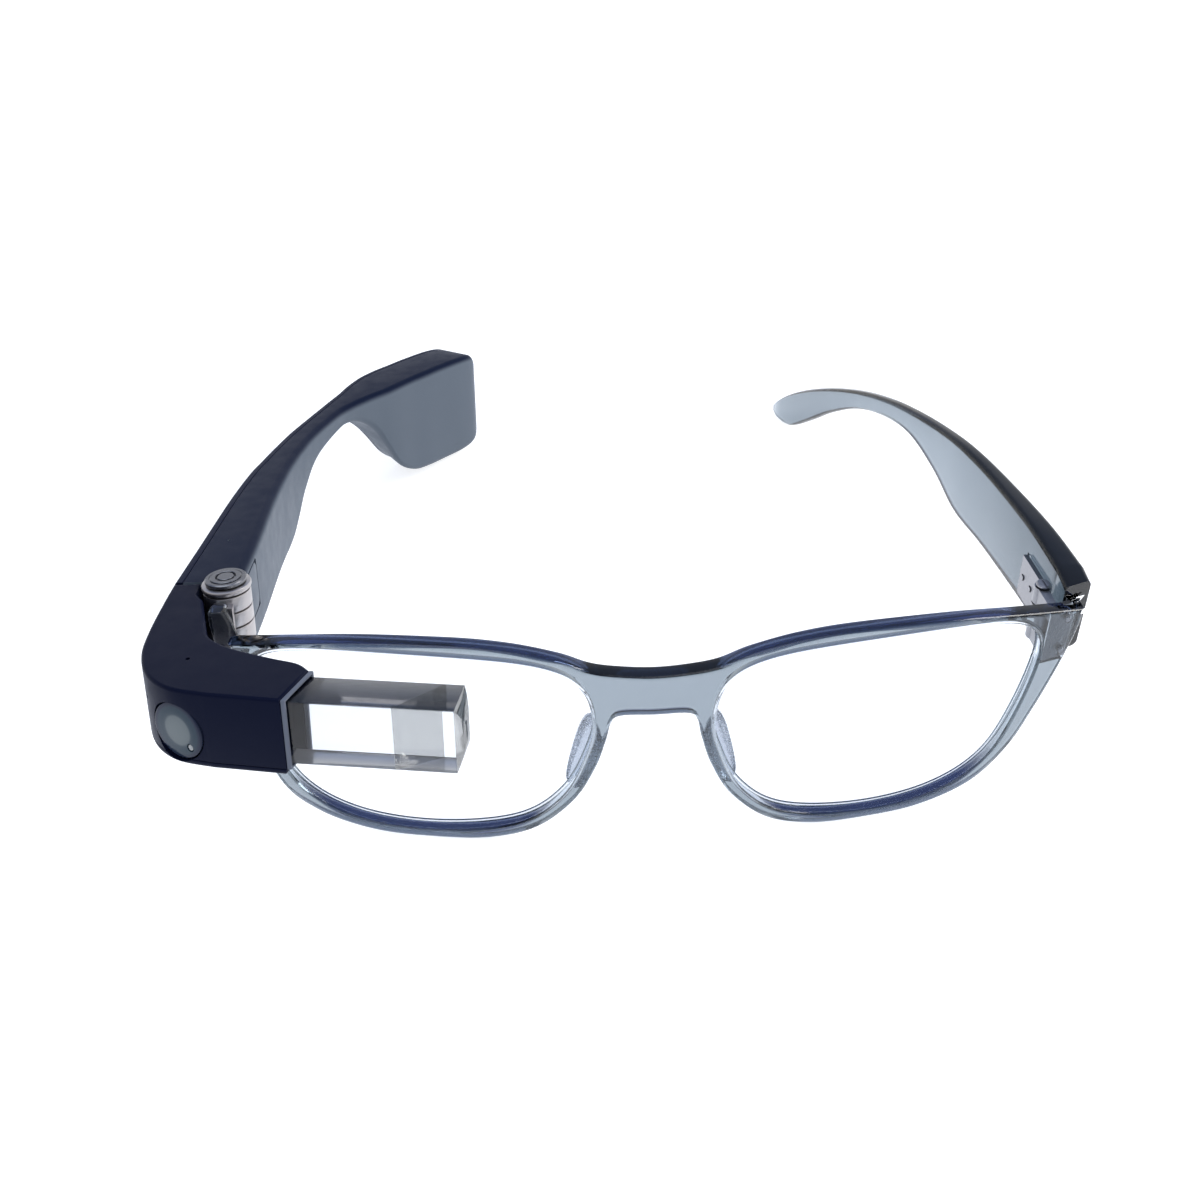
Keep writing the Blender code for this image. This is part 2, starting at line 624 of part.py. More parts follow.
def build_rivets(temple_frame):
    """Two rivets hold each leaf of the left hinge."""
    frame_leaf = bpy.data.objects["left_hinge_frame_leaf"]
    front = bpy.data.objects["front_frame"]
    temple_leaf = bpy.data.objects["left_hinge_temple_leaf"]
    temple = bpy.data.objects["temple_left"]
    hole_radius = RIVET_RADIUS + GAP / 2
    for word, z in (("lower", LEFT_LEAF_Z[0] + 1.8), ("upper", LEFT_LEAF_Z[1] - 1.8)):
        for item in (frame_leaf, front):
            cut(item, front_rivet("front_rivet_hole", z, hole_radius, 0.9))
        front_rivet("left_hinge_front_rivet_" + word, z, RIVET_RADIUS, 0.2)
    for word, y in (("front", TEMPLE_LEAF_AT[1] - 0.2), ("rear", TEMPLE_LEAF_AT[1] + 3.0)):
        for item in (temple_leaf, temple):
            cut(item, temple_rivet("temple_rivet_hole", y, hole_radius, 1.6))
        hang_on(temple_frame, temple_rivet("left_hinge_temple_rivet_" + word, y, RIVET_RADIUS, 0.6))


def rounded_rectangle(x0, x1, z0, z1, radius_low, radius_high, arc_steps=3):
    """Ring of (across, up) points; the radii belong to the x0 side and the x1 side."""
    corners = [(x1 - radius_high, z0 + radius_high, radius_high, -90),
               (x1 - radius_high, z1 - radius_high, radius_high, 0),
               (x0 + radius_low, z1 - radius_low, radius_low, 90),
               (x0 + radius_low, z0 + radius_low, radius_low, 180)]
    ring = []
    for x, z, radius, start in corners:
        for step in range(arc_steps + 1):
            angle = math.radians(start + 90 * step / arc_steps)
            ring.append((x + radius * math.cos(angle), z + radius * math.sin(angle)))
    return ring


def build_temple(temple_frame):
    """Clear temple: tall by the hinge, slim over the ear, and spread at the tip."""
    rings = []
    stations = smooth_path(TEMPLE_STATIONS, steps=3)
    for index, (y, x, thickness, top, bottom) in enumerate(stations):
        ahead = stations[min(index + 1, len(stations) - 1)]
        behind = stations[max(index - 1, 0)]
        slope = (ahead[1] - behind[1]) / (ahead[0] - behind[0])
        radius = min(TEMPLE_ROUND, 0.42 * thickness)
        ring = []
        for across, z in rounded_rectangle(-thickness / 2, thickness / 2, bottom, top, radius, radius):
            ring.append([x + across, y - across * slope, z])
        rings.append(ring)
    end_ring = []
    for px, _, z in rings[0]:
        end_ring.append([px, back_face(px, z) + GAP + 0.1, 0.93 * (z - 11.0) + 10.8])
    rings.insert(0, end_ring)
    hinge = Vector((LEFT_HINGE_X, LEFT_HINGE_Y, 0))
    local_rings = [[Vector(point) - hinge for point in ring] for ring in rings]
    temple = loft("temple_left", local_rings, crystal_plastic(), temple_frame)
    leaf_x, leaf_y, leaf_z = TEMPLE_LEAF_SIZE
    pocket_at = Vector(TEMPLE_LEAF_AT) + Vector((GAP - 0.8, 0, 0)) - hinge
    pocket = box("temple_leaf_pocket", (leaf_x + 1.6, leaf_y + 2 * GAP, leaf_z + 2 * GAP), pocket_at,
                 crystal_plastic(), temple_frame)
    relief = rod("temple_knuckle_relief", LEFT_KNUCKLE_RADIUS + 0.5, (0, 0, 3.0), (0, 0, 20.0),
                 crystal_plastic(), temple_frame)
    web_relief = box("temple_web_relief", (3.0, 5.2, 4.2),
                     Vector((LEFT_HINGE_X + 0.6, 17.6, 10.4)) - hinge, crystal_plastic(),
                     temple_frame)
    cut(temple, pocket, relief, web_relief)


# --- Pod hinge -----------------------------------------------------------------------------------
def knuckle(name, bottom, top, pod):
    return rod(name, KNUCKLE_RADIUS, (0, 0, bottom), (0, 0, top), hinge_steel(), pod, sides=36)


def build_pod_hinge(pod):
    """Steel barrel hinge under a round cap; two knuckles on the front and one on the arm."""
    turned("pod_hinge_cap", [(0, 0), (1.75, 0), (1.75, -0.22), (2.05, -0.22), (2.05, 0), (2.9, 0),
                             (CAP_RADIUS, -0.2), (CAP_RADIUS, -0.75), (0, -0.75)],
           hinge_steel(), pod, steps=40)
    turned("pod_hinge_flange", [(0, -1.0), (FLANGE_RADIUS - 0.2, -1.0), (FLANGE_RADIUS, -1.2),
                                (FLANGE_RADIUS, -1.7), (FLANGE_RADIUS - 0.25, -1.95), (0, -1.95)],
           hinge_steel(), pod, steps=40)
    leaf = box("pod_hinge_frame_leaf", POD_LEAF_SIZE, POD_LEAF_AT, hinge_steel(), pod)
    leaf_top = POD_LEAF_AT[2] + POD_LEAF_SIZE[2] / 2
    for number, (bottom, top) in ((1, KNUCKLES[0]), (2, KNUCKLES[2])):
        web_top = min(top, leaf_top)
        web = box("frame_web_%d" % number, (*POD_WEB_SIZE, web_top - bottom),
                  (POD_LEAF_AT[0], POD_WEB_Y, (web_top + bottom) / 2), hinge_steel(), pod)
        weld_on(leaf, web, knuckle("frame_knuckle_%d" % number, bottom, top, pod))
    cut(leaf, pin_bore("frame_bore", 0, 0, -12.0, -1.0, POD_PIN_RADIUS, pod))

    bottom, top = KNUCKLES[1]
    arm_leaf = box("pod_hinge_arm_leaf", ARM_LEAF_SIZE, ARM_LEAF_AT, hinge_steel(), pod)
    web = box("arm_web", (*ARM_WEB_SIZE, top - bottom), (*ARM_WEB_AT, (top + bottom) / 2),
              hinge_steel(), pod)
    weld_on(arm_leaf, web, knuckle("arm_knuckle", bottom, top, pod))
    cut(arm_leaf, pin_bore("arm_bore", 0, 0, -9.0, -4.0, POD_PIN_RADIUS, pod))
    rod("pod_hinge_pin", POD_PIN_RADIUS, (0, 0, -10.9), (0, 0, -2.25), hinge_steel(), pod, sides=16)


# --- Pod arm -------------------------------------------------------------------------------------
def arm_stations(first=0, last=None, steps=3):
    stations = smooth_path(ARM_STATIONS, steps=steps)
    end = None if last is None else last * steps + 1
    return stations[first * steps:end]


def arm_ring(station, side_from, side_to, round_outer, round_inner):
    """Section of the arm between two distances in from its outer side."""
    x, y, heading, width, top, bottom, lift = station
    heading = math.radians(heading)
    start = -width / 2 + side_from
    end = width / 2 if side_to is None else -width / 2 + side_to
    ring = []
    for across, z in rounded_rectangle(start, end, bottom, top, round_outer, round_inner):
        if z < (top + bottom) / 2:
            z += lift * (0.5 - across / width)
        ring.append((x + across * math.cos(heading), y - across * math.sin(heading), z))
    return ring


def build_arm_shell(pod):
    rings = [arm_ring(station, SKIN + GAP, None, 0.12, min(ARM_ROUND, 0.3 * station[3]))
             for station in arm_stations()]
    shell = loft("arm_shell", rings, pod_plastic(), pod)
    scallop = rod("hinge_scallop", HINGE_CLEARANCE_RADIUS, (0, 0, -20.0), (0, 0, 1.0),
                  pod_plastic(), pod, sides=32)
    leaf_pocket = box("arm_leaf_pocket", ARM_LEAF_POCKET_SIZE, ARM_LEAF_POCKET_AT, pod_plastic(), pod)
    board_pocket = box("board_pocket", BOARD_POCKET_SIZE, BOARD_POCKET_AT, pod_plastic(), pod)
    battery_pocket = battery_box("battery_pocket", BATTERY_POCKET, pod_plastic(), pod)
    channel = neck_strip("cable_channel", 0.9, 2.6, 2.2, pod_plastic(), pod)
    sound_slit = battery_box("sound_slit", SOUND_SLIT, pod_plastic(), pod)
    usb_opening = battery_box("usb_opening", USB_OPENING, pod_plastic(), pod)
    button_opening = rod("button_opening", BUTTON_RADIUS + GAP, button_point(-4.5),
                         button_point(4.0), pod_plastic(), pod)
    mic_port = rod("arm_mic_port", 0.3, (-3.7, 15.8, -4.2), (-3.7, 15.8, 0.0), pod_plastic(), pod, 12)
    bottom, top = DISPLAY_BARREL
    socket = display_barrel("display_socket", DISPLAY_BARREL_RADIUS + GAP, bottom - GAP, top + GAP, pod)
    pin_seat = display_barrel("pin_seat", DISPLAY_PIN_RADIUS + GAP / 2, bottom - 2.0, top + 1.2, pod)
    cut(shell, scallop, leaf_pocket, board_pocket, battery_pocket, channel, sound_slit, usb_opening,
        button_opening, mic_port, socket, pin_seat, solver="MANIFOLD")
    return shell


def battery_box(name, layout, look, pod):
    """A block in the battery pod, from its size and its place off the middle of the pod."""
    size, (along, across, up) = layout
    sideways = Vector((BUTTON_AXIS.y, -BUTTON_AXIS.x, 0))
    centre = BATTERY_AT + BUTTON_AXIS * along + sideways * across + Vector((0, 0, up))
    return box(name, size, centre, look, pod, -BATTERY_HEADING)


def neck_strip(name, side_from, side_to, height, look, pod):
    """A strip along the neck, just inside the covers, from the board's end to the battery."""
    rings = []
    for x, y, heading, width, _, _, _ in arm_stations(3, 13, steps=1):
        heading = math.radians(heading)
        ring = []
        for side, up in ((side_from, -1), (side_to, -1), (side_to, 1), (side_from, 1)):
            across = side - width / 2
            ring.append((x + across * math.cos(heading), y - across * math.sin(heading),
                         NECK_STRIP_HEIGHT + up * height / 2))
        rings.append(ring)
    return loft(name, rings, look, pod)


def button_point(distance):
    """Point on the power button's line of travel; it points out of the battery's back end."""
    return BUTTON_BASE + BUTTON_AXIS * distance


def build_arm_covers(pod):
    """Outer skins: the long touchpad and the battery cover behind it."""
    touch_rings = [arm_ring(station, 0.0, SKIN, 0.42, 0.1)
                   for station in arm_stations(0, TOUCHPAD_STATIONS)]
    loft("touchpad_cover", touch_rings, cover_plastic(), pod)
    battery_rings = [arm_ring(station, 0.0, SKIN, 0.42, 0.1)
                     for station in arm_stations(TOUCHPAD_STATIONS)]
    first = battery_rings[0]
    heading = math.radians(ARM_STATIONS[TOUCHPAD_STATIONS][2])
    battery_rings[0] = [(x + GAP * math.sin(heading), y + GAP * math.cos(heading), z)
                        for x, y, z in first]
    loft("battery_cover", battery_rings, pod_plastic(), pod)


def build_arm_contents(pod):
    box("main_board", (0.8, 39.0, 7.8), (-4.5, 27.5, BOARD_LEVEL), board_laminate(), pod)
    box("processor", (0.7, 11.0, 6.8), (-5.4, 20.0, BOARD_LEVEL), chip_black(), pod)
    box("touch_sensor", (0.3, 28.0, 8.4), (-6.3, 22.3, BOARD_LEVEL), copper_flex(), pod)
    battery_box("speaker", SPEAKER, chip_black(), pod)
    box("arm_microphone", (1.8, 2.4, 0.8), (-4.4, 15.8, -4.5), chip_black(), pod)
    battery_box("battery_cell", BATTERY_CELL, battery_foil(), pod)
    neck_strip("battery_cable", 1.5, 2.1, 1.5, copper_flex(), pod)


def build_usb_port(pod):
    """Charging socket in the underside of the battery pod."""
    port = battery_box("usb_port", USB_PORT, hinge_steel(), pod)
    bevel(port, 0.3)
    cut(port, battery_box("usb_mouth", USB_MOUTH, hinge_steel(), pod))


def build_power_button(pod):
    button_frame = empty("power_button_frame", button_point(0.0), parent=pod)
    button = rod("power_button", BUTTON_RADIUS, BUTTON_AXIS * -2.1, BUTTON_AXIS * 2.9, cover_plastic(),
                 button_frame)
    bevel(button, 0.25)


def build_hinge_cover(pod):
    """Thin plate on the arm's inner side that hides the hinge leaf's screws."""
    cover = box("hinge_cover_plate", HINGE_COVER_SIZE, HINGE_COVER_AT, pod_plastic(), pod,
                HINGE_COVER_YAW)
    bevel(cover, 0.15)


# --- Display housing -----------------------------------------------------------------------------
def housing_outline():
    outer = smooth_path(HOUSING_OUTLINE[:-1], steps=3) + [HOUSING_OUTLINE[-1]]
    back = smooth_path(HOUSING_BACK, steps=3)
    return outer + back + [(-3.75, -2.6), (-4.1, 0.0), (-4.15, 0.75)]


def drop_underside(item, above):
    """Slope everything below a height down towards the arm."""
    start, end = HOUSING_SLOPE_Y
    for vert in item.data.vertices:
        x, y, z = vert.co / MM
        if z < above:
            t = min(max((y - start) / (end - start), 0.0), 1.0)
            vert.co.z = (z - HOUSING_DROP * t) * MM
    return item


def display_barrel(name, radius, bottom, top, pod):
    x, y = DISPLAY_PIVOT
    return rod(name, radius, (x, y, bottom), (x, y, top), pod_plastic(), pod)


def build_housing(pod):
    """The corner housing that carries the camera and the prism, turning on the display pivot."""
    shell = plate("display_housing", [housing_outline()], HOUSING_BASE + SKIN + GAP, POD_TOP,
                  pod_plastic(), pod)
    bevel(drop_underside(shell, HOUSING_BASE / 2), 0.7, 2, 55.0)
    cavity_outline = offset_outline(housing_outline(), -1.5)
    cavity_outline = [point for point in cavity_outline if point[1] < -6.5]
    cut(shell, plate("housing_cavity", [cavity_outline], HOUSING_BASE - 1.0, POD_TOP - 1.1,
                     pod_plastic(), pod))
    cut(shell, prism_block("prism_mouth", -3.0, 8.0, MOUTH_CLEARANCE, pod, pod_plastic()))
    cut(shell, camera_disc("window_seat", CAMERA_WINDOW_RADIUS + 0.15, -0.95, 3.0, pod, 32))
    cut(shell, camera_disc("lens_opening", 3.2, -5.0, 1.0, pod, 24))
    cut(shell, rod("front_mic_port", 0.3, (0.35, -21.2, -4.0), (0.35, -21.2, 0.0), pod_plastic(),
                   pod, 12))
    cut(shell, rod("side_mic_port", 0.3, (-3.0, -22.5, -5.6), (-9.0, -26.0, -5.6), pod_plastic(),
                   pod, 12))
    weld_on(shell, display_barrel("display_barrel", DISPLAY_BARREL_RADIUS, *DISPLAY_BARREL, pod))
    bore_radius = DISPLAY_PIN_RADIUS + GAP / 2
    cut(shell, display_barrel("display_bore", bore_radius, -20.0, 2.0, pod))

    base = plate("housing_base_cover", [offset_outline(housing_outline(), -0.15)], HOUSING_BASE,
                 HOUSING_BASE + SKIN, cover_plastic(), pod)
    bevel(drop_underside(base, HOUSING_BASE / 2), 0.4, 1, 55.0)
    cut(base, display_barrel("base_bore", DISPLAY_BARREL_RADIUS + GAP, -20.0, 2.0, pod))
    cut(base, camera_disc("base_window_seat", CAMERA_WINDOW_RADIUS + 0.15, -0.95, 3.0, pod, 32))
    bottom, top = DISPLAY_BARREL
    rod("display_pivot_pin", DISPLAY_PIN_RADIUS, (*DISPLAY_PIVOT, bottom - 1.7),
        (*DISPLAY_PIVOT, top + 0.9), hinge_steel(), pod, 16)


def camera_axis():
    """Direction in which the camera looks."""
    return Vector((math.sin(CAMERA_WINDOW_YAW), -math.cos(CAMERA_WINDOW_YAW), 0))


def camera_disc(name, radius, inner, outer, pod, sides, look=None):
    """A disc along the camera's axis between two depths; positive is out of the housing."""
    axis = camera_axis()
    at = Vector(CAMERA_WINDOW_AT)
    return rod(name, radius, at + axis * inner, at + axis * outer, look or pod_plastic(), pod, sides)


def led_rod(name, radius, inner, outer, pod, look=None):
    """A small round rod beside the camera lens, along the camera's axis."""
    axis = camera_axis()
    sideways = Vector((math.cos(CAMERA_WINDOW_YAW), math.sin(CAMERA_WINDOW_YAW), 0))
    at = Vector(CAMERA_WINDOW_AT) + sideways * LED_OFFSET[0] + Vector((0, 0, LED_OFFSET[1]))
    return rod(name, radius, at + axis * inner, at + axis * outer, look or pod_plastic(), pod, 12)


def build_camera(pod):
    window = camera_disc("camera_window", CAMERA_WINDOW_RADIUS - 0.15, -0.6, 0.15, pod, 32,
                         window_glass())
    bevel(window, 0.2)
    cut(window, led_rod("led_hole", 0.65, -2.0, 2.0, pod))
    led_rod("capture_led", 0.45, -0.9, 0.1, pod, led_lens())
    camera_disc("camera_module", 2.3, -4.8, -1.0, pod, 24, chip_black())


def prism_frame(along, across, up):
    """Point in the pod's axes from distances along, across and above the prism's own axis."""
    x0, y0 = PRISM_START
    direction = Vector((math.cos(PRISM_YAW), math.sin(PRISM_YAW), 0))
    sideways = Vector((-math.sin(PRISM_YAW), math.cos(PRISM_YAW), 0))
    middle = PRISM_TOP - PRISM_HEIGHT / 2
    return Vector((x0, y0, middle)) + direction * along + sideways * across + Vector((0, 0, up))


def prism_section(along_front, along_back, grow=0.0):
    half_depth = PRISM_DEPTH / 2 + grow
    half_height = PRISM_HEIGHT / 2 + grow
    return [prism_frame(along_front, -half_depth, -half_height),
            prism_frame(along_front, -half_depth, half_height),
            prism_frame(along_back, half_depth, half_height),
            prism_frame(along_back, half_depth, -half_height)]


def prism_block(name, start, end, grow, pod, look):
    return loft(name, [prism_section(start, start, grow), prism_section(end, end, grow)], look, pod)


def build_prism(pod):
    """Two cemented glass blocks with a slanted beam splitter, and a curved mirror on the end."""
    front_cut = SPLITTER_AT
    back_cut = front_cut + SPLITTER_RUN
    spread = SPLITTER_THICKNESS + 2 * GAP
    loft("prism_inner_block", [prism_section(-PRISM_TUCK, -PRISM_TUCK),
                               prism_section(front_cut, back_cut)], optical_glass(), pod)
    loft("prism_splitter", [prism_section(front_cut + GAP, back_cut + GAP),
                            prism_section(front_cut + spread - GAP, back_cut + spread - GAP)],
         mirror_coat(), pod)
    loft("prism_outer_block", [prism_section(front_cut + spread, back_cut + spread),
                               prism_section(PRISM_LENGTH, PRISM_LENGTH)], optical_glass(), pod)
    rings = []
    for depth, shrink in PRISM_DOME:
        along = PRISM_LENGTH + GAP + depth
        ring = []
        for across, up in rounded_rectangle(-PRISM_DEPTH / 2, PRISM_DEPTH / 2, -PRISM_HEIGHT / 2,
                                            PRISM_HEIGHT / 2, 0.5, 0.5):
            ring.append(prism_frame(along, across * shrink, up * shrink))
        rings.append(ring)
    loft("prism_end_mirror", rings, mirror_coat(), pod)


def build_bezel(pod):
    """Thin frame round the prism where it leaves the housing."""
    front_along, back_along = HOUSING_END_ALONG
    rings = [prism_section(front_along + shift, back_along + shift, BEZEL_WIDTH)
             for shift in (GAP / 2, GAP / 2 + BEZEL_THICKNESS)]
    bezel = loft("prism_bezel", rings, cover_plastic(), pod)
    cut(bezel, prism_block("bezel_hole", -1.0, 5.0, MOUTH_CLEARANCE, pod, cover_plastic()))


def build_housing_contents(pod):
    behind_camera = Vector(CAMERA_WINDOW_AT) - camera_axis() * 5.4
    box("camera_board", (6.2, 0.6, 6.2), behind_camera, board_laminate(), pod, CAMERA_WINDOW_YAW)
    box("side_microphone", (1.5, 1.5, 1.0), (-2.9, -20.6, -5.6), chip_black(), pod)
    box("display_engine", (5.2, 4.2, 7.4), (9.2, -26.5, -7.0), chip_black(), pod, PRISM_YAW)
    box("front_microphone", (2.0, 2.0, 0.9), (0.35, -21.2, -3.4), chip_black(), pod)


def build():
    clear_scene()
    make_collections()
    temple_frame = empty("temple_left_frame", (LEFT_HINGE_X, LEFT_HINGE_Y, 0))
    pod = empty("pod_frame", POD_HINGE, (-POD_LEAN, 0, 0))
    build_front(pod)
    build_left_hinge(temple_frame)
    build_temple(temple_frame)
    build_rivets(temple_frame)
    build_pod_hinge(pod)
    build_arm_shell(pod)
    build_arm_covers(pod)
    build_arm_contents(pod)
    build_usb_port(pod)
    build_power_button(pod)
    build_hinge_cover(pod)
    build_housing(pod)
    build_camera(pod)
    build_prism(pod)
    build_bezel(pod)
    build_housing_contents(pod)
    display_frame = empty("display_frame", (*DISPLAY_PIVOT, 0.0), parent=pod)
    hang_on(display_frame, *[bpy.data.objects[name] for name in DISPLAY_PIECES])
    stand_on_origin()
    bpy.context.view_layer.update()


def stand_on_origin():
    """Move the whole object so that the middle of its footprint is the origin."""
    bpy.context.view_layer.update()
    depsgraph = bpy.context.evaluated_depsgraph_get()
    corners = []
    for item in part_collection.objects:
        if item.type == "MESH":
            shown = item.evaluated_get(depsgraph)
            corners += [shown.matrix_world @ vert.co for vert in shown.data.vertices]
    low = [min(corner[axis] for corner in corners) for axis in range(3)]
    high = [max(corner[axis] for corner in corners) for axis in range(3)]
    shift = Vector(((low[0] + high[0]) / 2, (low[1] + high[1]) / 2, low[2]))
    for item in list(part_collection.objects) + list(cutter_collection.objects):
        if item.parent is None:
            item.location -= shift


build()
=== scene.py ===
import json
import math

import bmesh
import bpy
from mathutils import Matrix, Vector


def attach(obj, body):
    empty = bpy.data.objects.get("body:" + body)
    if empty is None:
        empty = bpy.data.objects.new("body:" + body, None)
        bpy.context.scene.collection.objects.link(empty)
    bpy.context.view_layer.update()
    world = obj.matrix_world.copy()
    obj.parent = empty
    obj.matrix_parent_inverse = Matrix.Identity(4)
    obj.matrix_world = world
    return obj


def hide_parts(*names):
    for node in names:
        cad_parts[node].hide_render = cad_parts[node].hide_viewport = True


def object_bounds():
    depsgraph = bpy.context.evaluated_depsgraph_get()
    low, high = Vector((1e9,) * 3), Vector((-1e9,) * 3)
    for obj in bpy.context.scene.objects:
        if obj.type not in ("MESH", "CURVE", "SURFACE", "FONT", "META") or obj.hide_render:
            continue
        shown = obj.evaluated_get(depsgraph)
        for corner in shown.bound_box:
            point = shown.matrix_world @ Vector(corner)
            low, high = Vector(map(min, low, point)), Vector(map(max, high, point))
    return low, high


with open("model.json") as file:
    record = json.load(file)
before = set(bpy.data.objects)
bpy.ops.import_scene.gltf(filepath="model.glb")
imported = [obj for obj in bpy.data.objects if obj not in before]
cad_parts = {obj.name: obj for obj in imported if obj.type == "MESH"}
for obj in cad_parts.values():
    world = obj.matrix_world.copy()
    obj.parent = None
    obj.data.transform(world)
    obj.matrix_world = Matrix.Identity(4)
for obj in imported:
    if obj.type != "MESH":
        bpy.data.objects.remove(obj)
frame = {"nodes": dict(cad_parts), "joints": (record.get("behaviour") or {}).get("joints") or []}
CAD_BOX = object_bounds()

# Shapes are drawn in millimetres from the symmetry plane and the bridge, or in the pod's own axes on
# its fold hinge (+Y back along the arm, +Z up the pin). The record's joints say where both stand.
MM = 0.001
GAP = 0.3
FLOOR_CLEARANCE = 0.1
JOINTS = {joint["name"]: joint for joint in frame["joints"]}
POD_ORIGIN = Vector(JOINTS["pod_fold"]["pos_m"])
POD_UP = -Vector(JOINTS["pod_fold"]["axis"])
POD_LEAN = math.atan2(POD_UP.y, POD_UP.z)
POD_HINGE = Vector((-65.15, 16.65, 22.2))
DRAWING = Matrix.Translation(POD_ORIGIN - POD_HINGE * MM) @ Matrix.Scale(MM, 4)
POD_AXES = (Matrix.Translation(POD_ORIGIN) @ Matrix.Rotation(-POD_LEAN, 4, "X")
            @ Matrix.Scale(MM, 4))

# --- Spectacle front -----------------------------------------------------------------------------
FRONT_DEPTH = 2.8
WRAP_DEPTH = 10.7
WRAP_HALF_WIDTH = 70.0
PANTOSCOPIC_TILT = math.radians(2.6)
REST_LEVEL = -21.4
OPENING = [(61.8, 8.0), (59.4, 13.6), (52.0, 16.3), (33.0, 16.9), (18.4, 15.7), (11.4, 11.9),
           (9.4, 5.0), (10.3, -1.5), (14.2, -10.8), (21.5, -17.2), (34.5, -19.7), (47.0, -18.6),
           (55.4, -13.6), (59.7, -4.0)]
RIM_TOP = [(5.4, 14.3), (9.6, 15.1), (14.3, 17.1), (21.8, 18.9), (31.0, 19.5), (45.6, 18.7),
           (60.0, 16.6)]
RIM_END = [(67.9, 15.2), (68.5, 14.7), (68.1, 11.0), (66.2, 4.0)]
RIM_BOTTOM = [(63.2, -4.4), (59.8, -11.8), (54.0, -18.0), (45.0, -21.0), (35.0, REST_LEVEL),
              (26.0, -20.8), (18.4, -18.0), (12.4, -11.9), (9.0, -4.9), (7.3, 1.0)]
BRIDGE_UNDERSIDE = [(6.5, 4.8), (5.0, 6.2)]
BRIDGE_TOP_HEIGHT = 13.9
BRIDGE_BOTTOM_HEIGHT = 6.2
POD_SIDE_END = [(62.2, 15.9), (63.4, 15.2), (63.8, 12.0), (63.8, 4.0)]
LUG_STATIONS = [(10.2, -64.4, -61.4, 0.5), (11.0, -65.2, -61.2, 0.0), (13.5, -66.3, -62.2, 0.0),
                (16.0, -66.6, -62.9, 0.0), (19.6, -66.6, -63.8, 0.0), (20.6, -66.1, -64.3, 0.6)]
LUG_FRONT = 1.2
LENS_THICKNESS = 1.4
LENS_TUCK = 0.35
GROOVE_DEPTH = 0.65

# --- Wearer's left temple ------------------------------------------------------------------------
TEMPLE_STATIONS = [(16.0, 68.4, 4.8, 18.8, 4.3), (28.0, 67.9, 4.2, 19.2, 3.8),
                   (44.0, 66.7, 3.4, 18.6, 3.2), (56.0, 65.2, 3.0, 17.9, 3.0),
                   (66.0, 63.7, 2.8, 16.4, 6.2), (77.0, 61.6, 2.8, 14.2, 8.4),
                   (88.0, 59.3, 2.8, 11.3, 6.8), (100.0, 56.5, 2.8, 7.1, 2.4),
                   (112.0, 53.5, 2.9, 1.7, -5.0), (123.0, 50.7, 3.0, -4.2, -13.4),
                   (132.0, 48.4, 3.0, -9.9, -19.6), (139.0, 46.6, 2.8, -15.2, REST_LEVEL),
                   (142.4, 45.7, 2.0, -18.4, -21.0)]
TEMPLE_ROUND = 1.1
LEAF_THICKNESS = 0.8
LEFT_HINGE = Vector((64.2, 15.6, 0.0))
LEFT_KNUCKLE_RADIUS = 1.35
LEFT_LEAF_X = (62.9, 67.0)
LEFT_LEAF_Z = (5.4, 15.4)
TEMPLE_LEAF_AT = Vector((65.4, 21.6, 10.4))
TEMPLE_LEAF_SIZE = (LEAF_THICKNESS, 8.5, 7.6)
RIVET_HOLE_RADIUS = 0.6

# --- Pod -----------------------------------------------------------------------------------------
POD_TOP = -1.5
SKIN = 1.0
ARM_STATIONS = [(-3.15, 1.2, 0.0, 10.2, POD_TOP, -15.8, 0.0), (-3.4, 14.5, 0.0, 9.5, POD_TOP, -16.1, 0.0),
                (-4.0, 33.0, 0.0, 8.1, POD_TOP, -16.5, 0.0), (-3.9, 45.0, 1.0, 7.2, POD_TOP, -16.5, 0.0),
                (-3.5, 51.0, 2.5, 6.5, POD_TOP, -14.6, 0.0), (-2.9, 57.5, 4.5, 6.0, POD_TOP, -11.1, 0.0),
                (-1.6, 67.0, 9.0, 5.5, POD_TOP, -7.6, 0.0), (1.2, 79.0, 17.0, 5.5, -1.4, -5.8, 0.0),
                (3.0, 84.3, 23.5, 6.5, -1.3, -5.7, 0.0), (4.9, 88.5, 28.5, 8.0, -1.15, -7.4, 0.3),
                (6.5, 92.0, 32.0, 9.8, -1.0, -11.0, 1.5), (8.0, 94.9, 34.5, 11.3, -0.9, -16.5, 4.5),
                (9.6, 97.9, 36.0, 12.2, -0.75, -21.5, 6.0), (12.2, 102.2, 37.0, 12.5, -0.6, -24.1, 2.5),
                (15.0, 105.9, 37.0, 12.5, -0.45, -24.6, 0.0), (18.4, 110.6, 37.0, 12.5, -0.3, -24.7, 0.0),
                (23.0, 116.7, 37.0, 12.3, -0.3, -24.6, 0.0), (25.7, 120.2, 37.0, 11.0, -0.8, -23.8, 0.0),
                (27.3, 122.3, 37.0, 7.4, -2.5, -21.9, 0.0)]
TOUCHPAD_STATIONS = 8
ARM_ROUND = 1.7
ARM_STEPS = 8
HINGE_CLEARANCE_RADIUS = 4.1
CAP_RADIUS = 3.1
FLANGE_RADIUS = 3.7
KNUCKLE_RADIUS = 3.55
POD_PIN_RADIUS = 0.7
KNUCKLES = [(-4.75, -2.2), (-7.3, -5.0), (-10.6, -7.55)]
POD_LEAF_AT = (0.35, -4.25, -6.9)
POD_LEAF_SIZE = (3.0, LEAF_THICKNESS, 7.4)
POD_WEB_SIZE = (2.6, 2.4)    # bridge from the front's hinge leaf to its knuckles
POD_WEB_Y = -3.2
ARM_LEAF_AT = (0.5, 7.6, -7.0)
ARM_LEAF_SIZE = (LEAF_THICKNESS, 7.0, 7.6)
